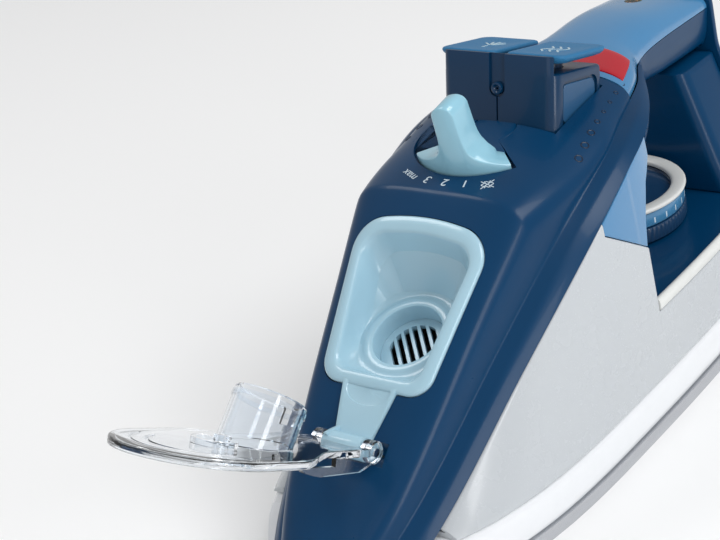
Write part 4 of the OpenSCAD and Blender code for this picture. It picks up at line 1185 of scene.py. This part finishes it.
def onCover(x, y, lift=0.0):
    e = 0.4
    dx, dy = coverZ(x - e, y) - coverZ(x + e, y), coverZ(x, y - e) - coverZ(x, y + e)
    n = Vector((dx / (2 * e), dy / (2 * e), 1)).normalized()
    p = Vector((x, y, coverZ(x, y))) + n * lift
    return Matrix.Translation(p) @ n.to_track_quat("Z", "Y").to_matrix().to_4x4()


def makeDimples():
    shapes = []
    for k, width in enumerate(dimples["widths"]):
        t = k / (len(dimples["widths"]) - 1)
        x, y = (a + (b - a) * t for a, b in zip(dimples["from"], dimples["to"]))
        r = width / 2
        line = [(0.02, -0.25), (r * 0.5, -0.2), (r * 0.8, -0.05), (r, 0.1), (r + 0.2, 0.12), (r + 0.35, 0.0),
                (r + 0.35, -0.5), (0.02, -0.5)]
        shapes += [(turnedShape(line, 28), onCover(side * x, y, 0.02)) for side in (1, -1)]
    return makeObject("shoulderDimples", joined(*shapes))


piece(makeDimples(), "dimple", "housing", sharp=50)

scale = {
    "marks": (("max", 36.0, -117, 3.6), ("3", 34.4, -102, 4.0), ("2", 34.0, -89, 4.0), ("1", 34.4, -75, 4.0)),
    "icon": (36.4, -61), "thick": 0.08,
}


def layOnCover(points, radius, angle):
    # points (x, y) with their top towards the nose, seen from the nose side
    centre = leverPlace @ Vector((*polar(radius, rad(angle)), 0))
    c, s = cos(rad(angle + 90)), sin(rad(angle + 90))
    flat = [(centre.x + y * s - x * c, centre.y - x * s - y * c) for x, y in points]
    return [(x, y, coverZ(x, y) + scale["thick"]) for x, y in flat]


def makeText(text, radius, angle, size):
    curve = bpy.data.curves.new("scaleText", "FONT")
    curve.body, curve.size, curve.resolution_u = text, size * 1.35, 6
    curve.align_x = curve.align_y = "CENTER"
    ob = placed("scaleText", curve)
    bpy.context.view_layer.update()
    me = bpy.data.meshes.new_from_object(ob.evaluated_get(bpy.context.evaluated_depsgraph_get()))
    verts = layOnCover([(v.co.x, v.co.y) for v in me.vertices], radius, angle)
    faces = [tuple(p.vertices) for p in me.polygons]
    bpy.data.objects.remove(ob)
    bpy.data.meshes.remove(me)
    return verts, faces


def makeIcon():
    # three puffs of steam crossed out
    waves = [[(x + 0.7 * sin(y * 2.2 + x), y) for y in spread(-1.9, 1.9, 16)] for x in (-1.5, 0, 1.5)]
    waves += [[(x, x * slope) for x in spread(-2.4, 2.4, 4)] for slope in (0.9, -0.9)]
    verts, faces = [], []
    for wave in waves:
        left, right = ribbon(wave, 0.34)
        k, n = len(verts), len(left)
        verts += layOnCover(left + right, *scale["icon"])
        faces += [(k + i, k + i + 1, k + n + i + 1, k + n + i) for i in range(n - 1)]
    return verts, faces


marks = joined(*[(makeText(*m), None) for m in scale["marks"]], (makeIcon(), None))
marksPiece = makeObject("steamScaleMarks", marks)
thicken = marksPiece.modifiers.new("thicken", "SOLIDIFY")
thicken.thickness, thicken.offset = 0.12 * mm, 0
settle(marksPiece)
piece(marksPiece, "paint", "housing", sharp=30)
print("marks made")


# materials of the CAD parts that stay

stays = {
    "sole": ["soleplate", "chamber_cover"], "element": ["heating_element"], "ceramic": ["thermostat", "terminal_block"],
    "steel": ["sole_screws", "lid_hinge_pin", "spray_spring", "steam_spring", "valve_spindle", "dial_shaft"],
    "whitePart": ["spray_pump_barrel", "steam_pump_barrel", "pump_bracket", "valve_seat"],
    "ice": ["filler_grille"], "midBlue": ["post_wall"], "block": ["spray_plunger", "steam_plunger"],
    "navy": ["dial_deck"], "board": ["auto_off_board"], "clear": ["lid_seal"],
}
for key, names in stays.items():
    for name in names:
        me = bpy.data.objects[name].data
        if not me.materials:
            me.materials.append(finish[key])
        for k in range(len(me.materials)):
            me.materials[k] = finish[key]
print("CAD parts finished")


# floor, world and lamps

studio = {
    "reach": 3000, "floor": (0.975, 0.978, 0.982), "ambient": 0.48, "key": 11.0, "side": 5.0, "back": 5.0, "front": 1.6,
}


def makeFloor():
    m, t, p = shader("floorPale", Roughness=0.6, Specular_IOR_Level=0.2)
    patches = noise(t, objectPoint(t), Scale=3.0, Detail=4.0)
    tone = put(t, "ShaderNodeMix", {0: patches.outputs["Fac"]}, data_type="RGBA")
    for k, share in ((6, 1), (7, 0.985)):
        tone.inputs[k].default_value = (*(c * share for c in studio["floor"]), 1)
    t.links.new(tone.outputs[2], p.inputs["Base Color"])
    reach = studio["reach"]
    ob = makeObject("floor", prism(box(-reach, -reach, reach, reach), -0.05, -5))
    ob.data.materials.append(m)


def makeWorld():
    world = bpy.data.worlds.new("studio")
    bpy.context.scene.world = world
    world.use_nodes = True
    t = world.node_tree
    t.nodes.clear()
    path = put(t, "ShaderNodeLightPath")
    seen = maths(t, "MAXIMUM", path.outputs["Is Camera Ray"], path.outputs["Is Transmission Ray"])
    level = put(t, "ShaderNodeMapRange", {"Value": seen}, To_Min=studio["ambient"], To_Max=1.0)
    background = put(t, "ShaderNodeBackground", {"Strength": level.outputs[0]}, Color=(1, 1, 1, 1))
    out = put(t, "ShaderNodeOutputWorld")
    t.links.new(background.outputs[0], out.inputs["Surface"])


def makeLamp(name, watts, place, target, size, stretch=1.0):
    data = bpy.data.lights.new(name, "AREA")
    data.shape, data.size, data.size_y, data.energy = "RECTANGLE", size, size * stretch, watts
    ob = placed(name, data)
    ob.location = place
    ob.rotation_euler = (Vector(target) - Vector(place)).to_track_quat("-Z", "Y").to_euler()


makeFloor()
makeWorld()
centre = (0, -0.02, 0.08)
makeLamp("keyLamp", studio["key"], (0.9, 0.2, 1.3), centre, 0.8)
makeLamp("sideLamp", studio["side"], (1.3, -0.5, 0.45), centre, 0.35, 2.4)
makeLamp("backLamp", studio["back"], (-1.0, 0.0, 1.5), centre, 0.6)
makeLamp("frontLamp", studio["front"], (0.2, -1.5, 0.8), centre, 0.9)
print("stage made")
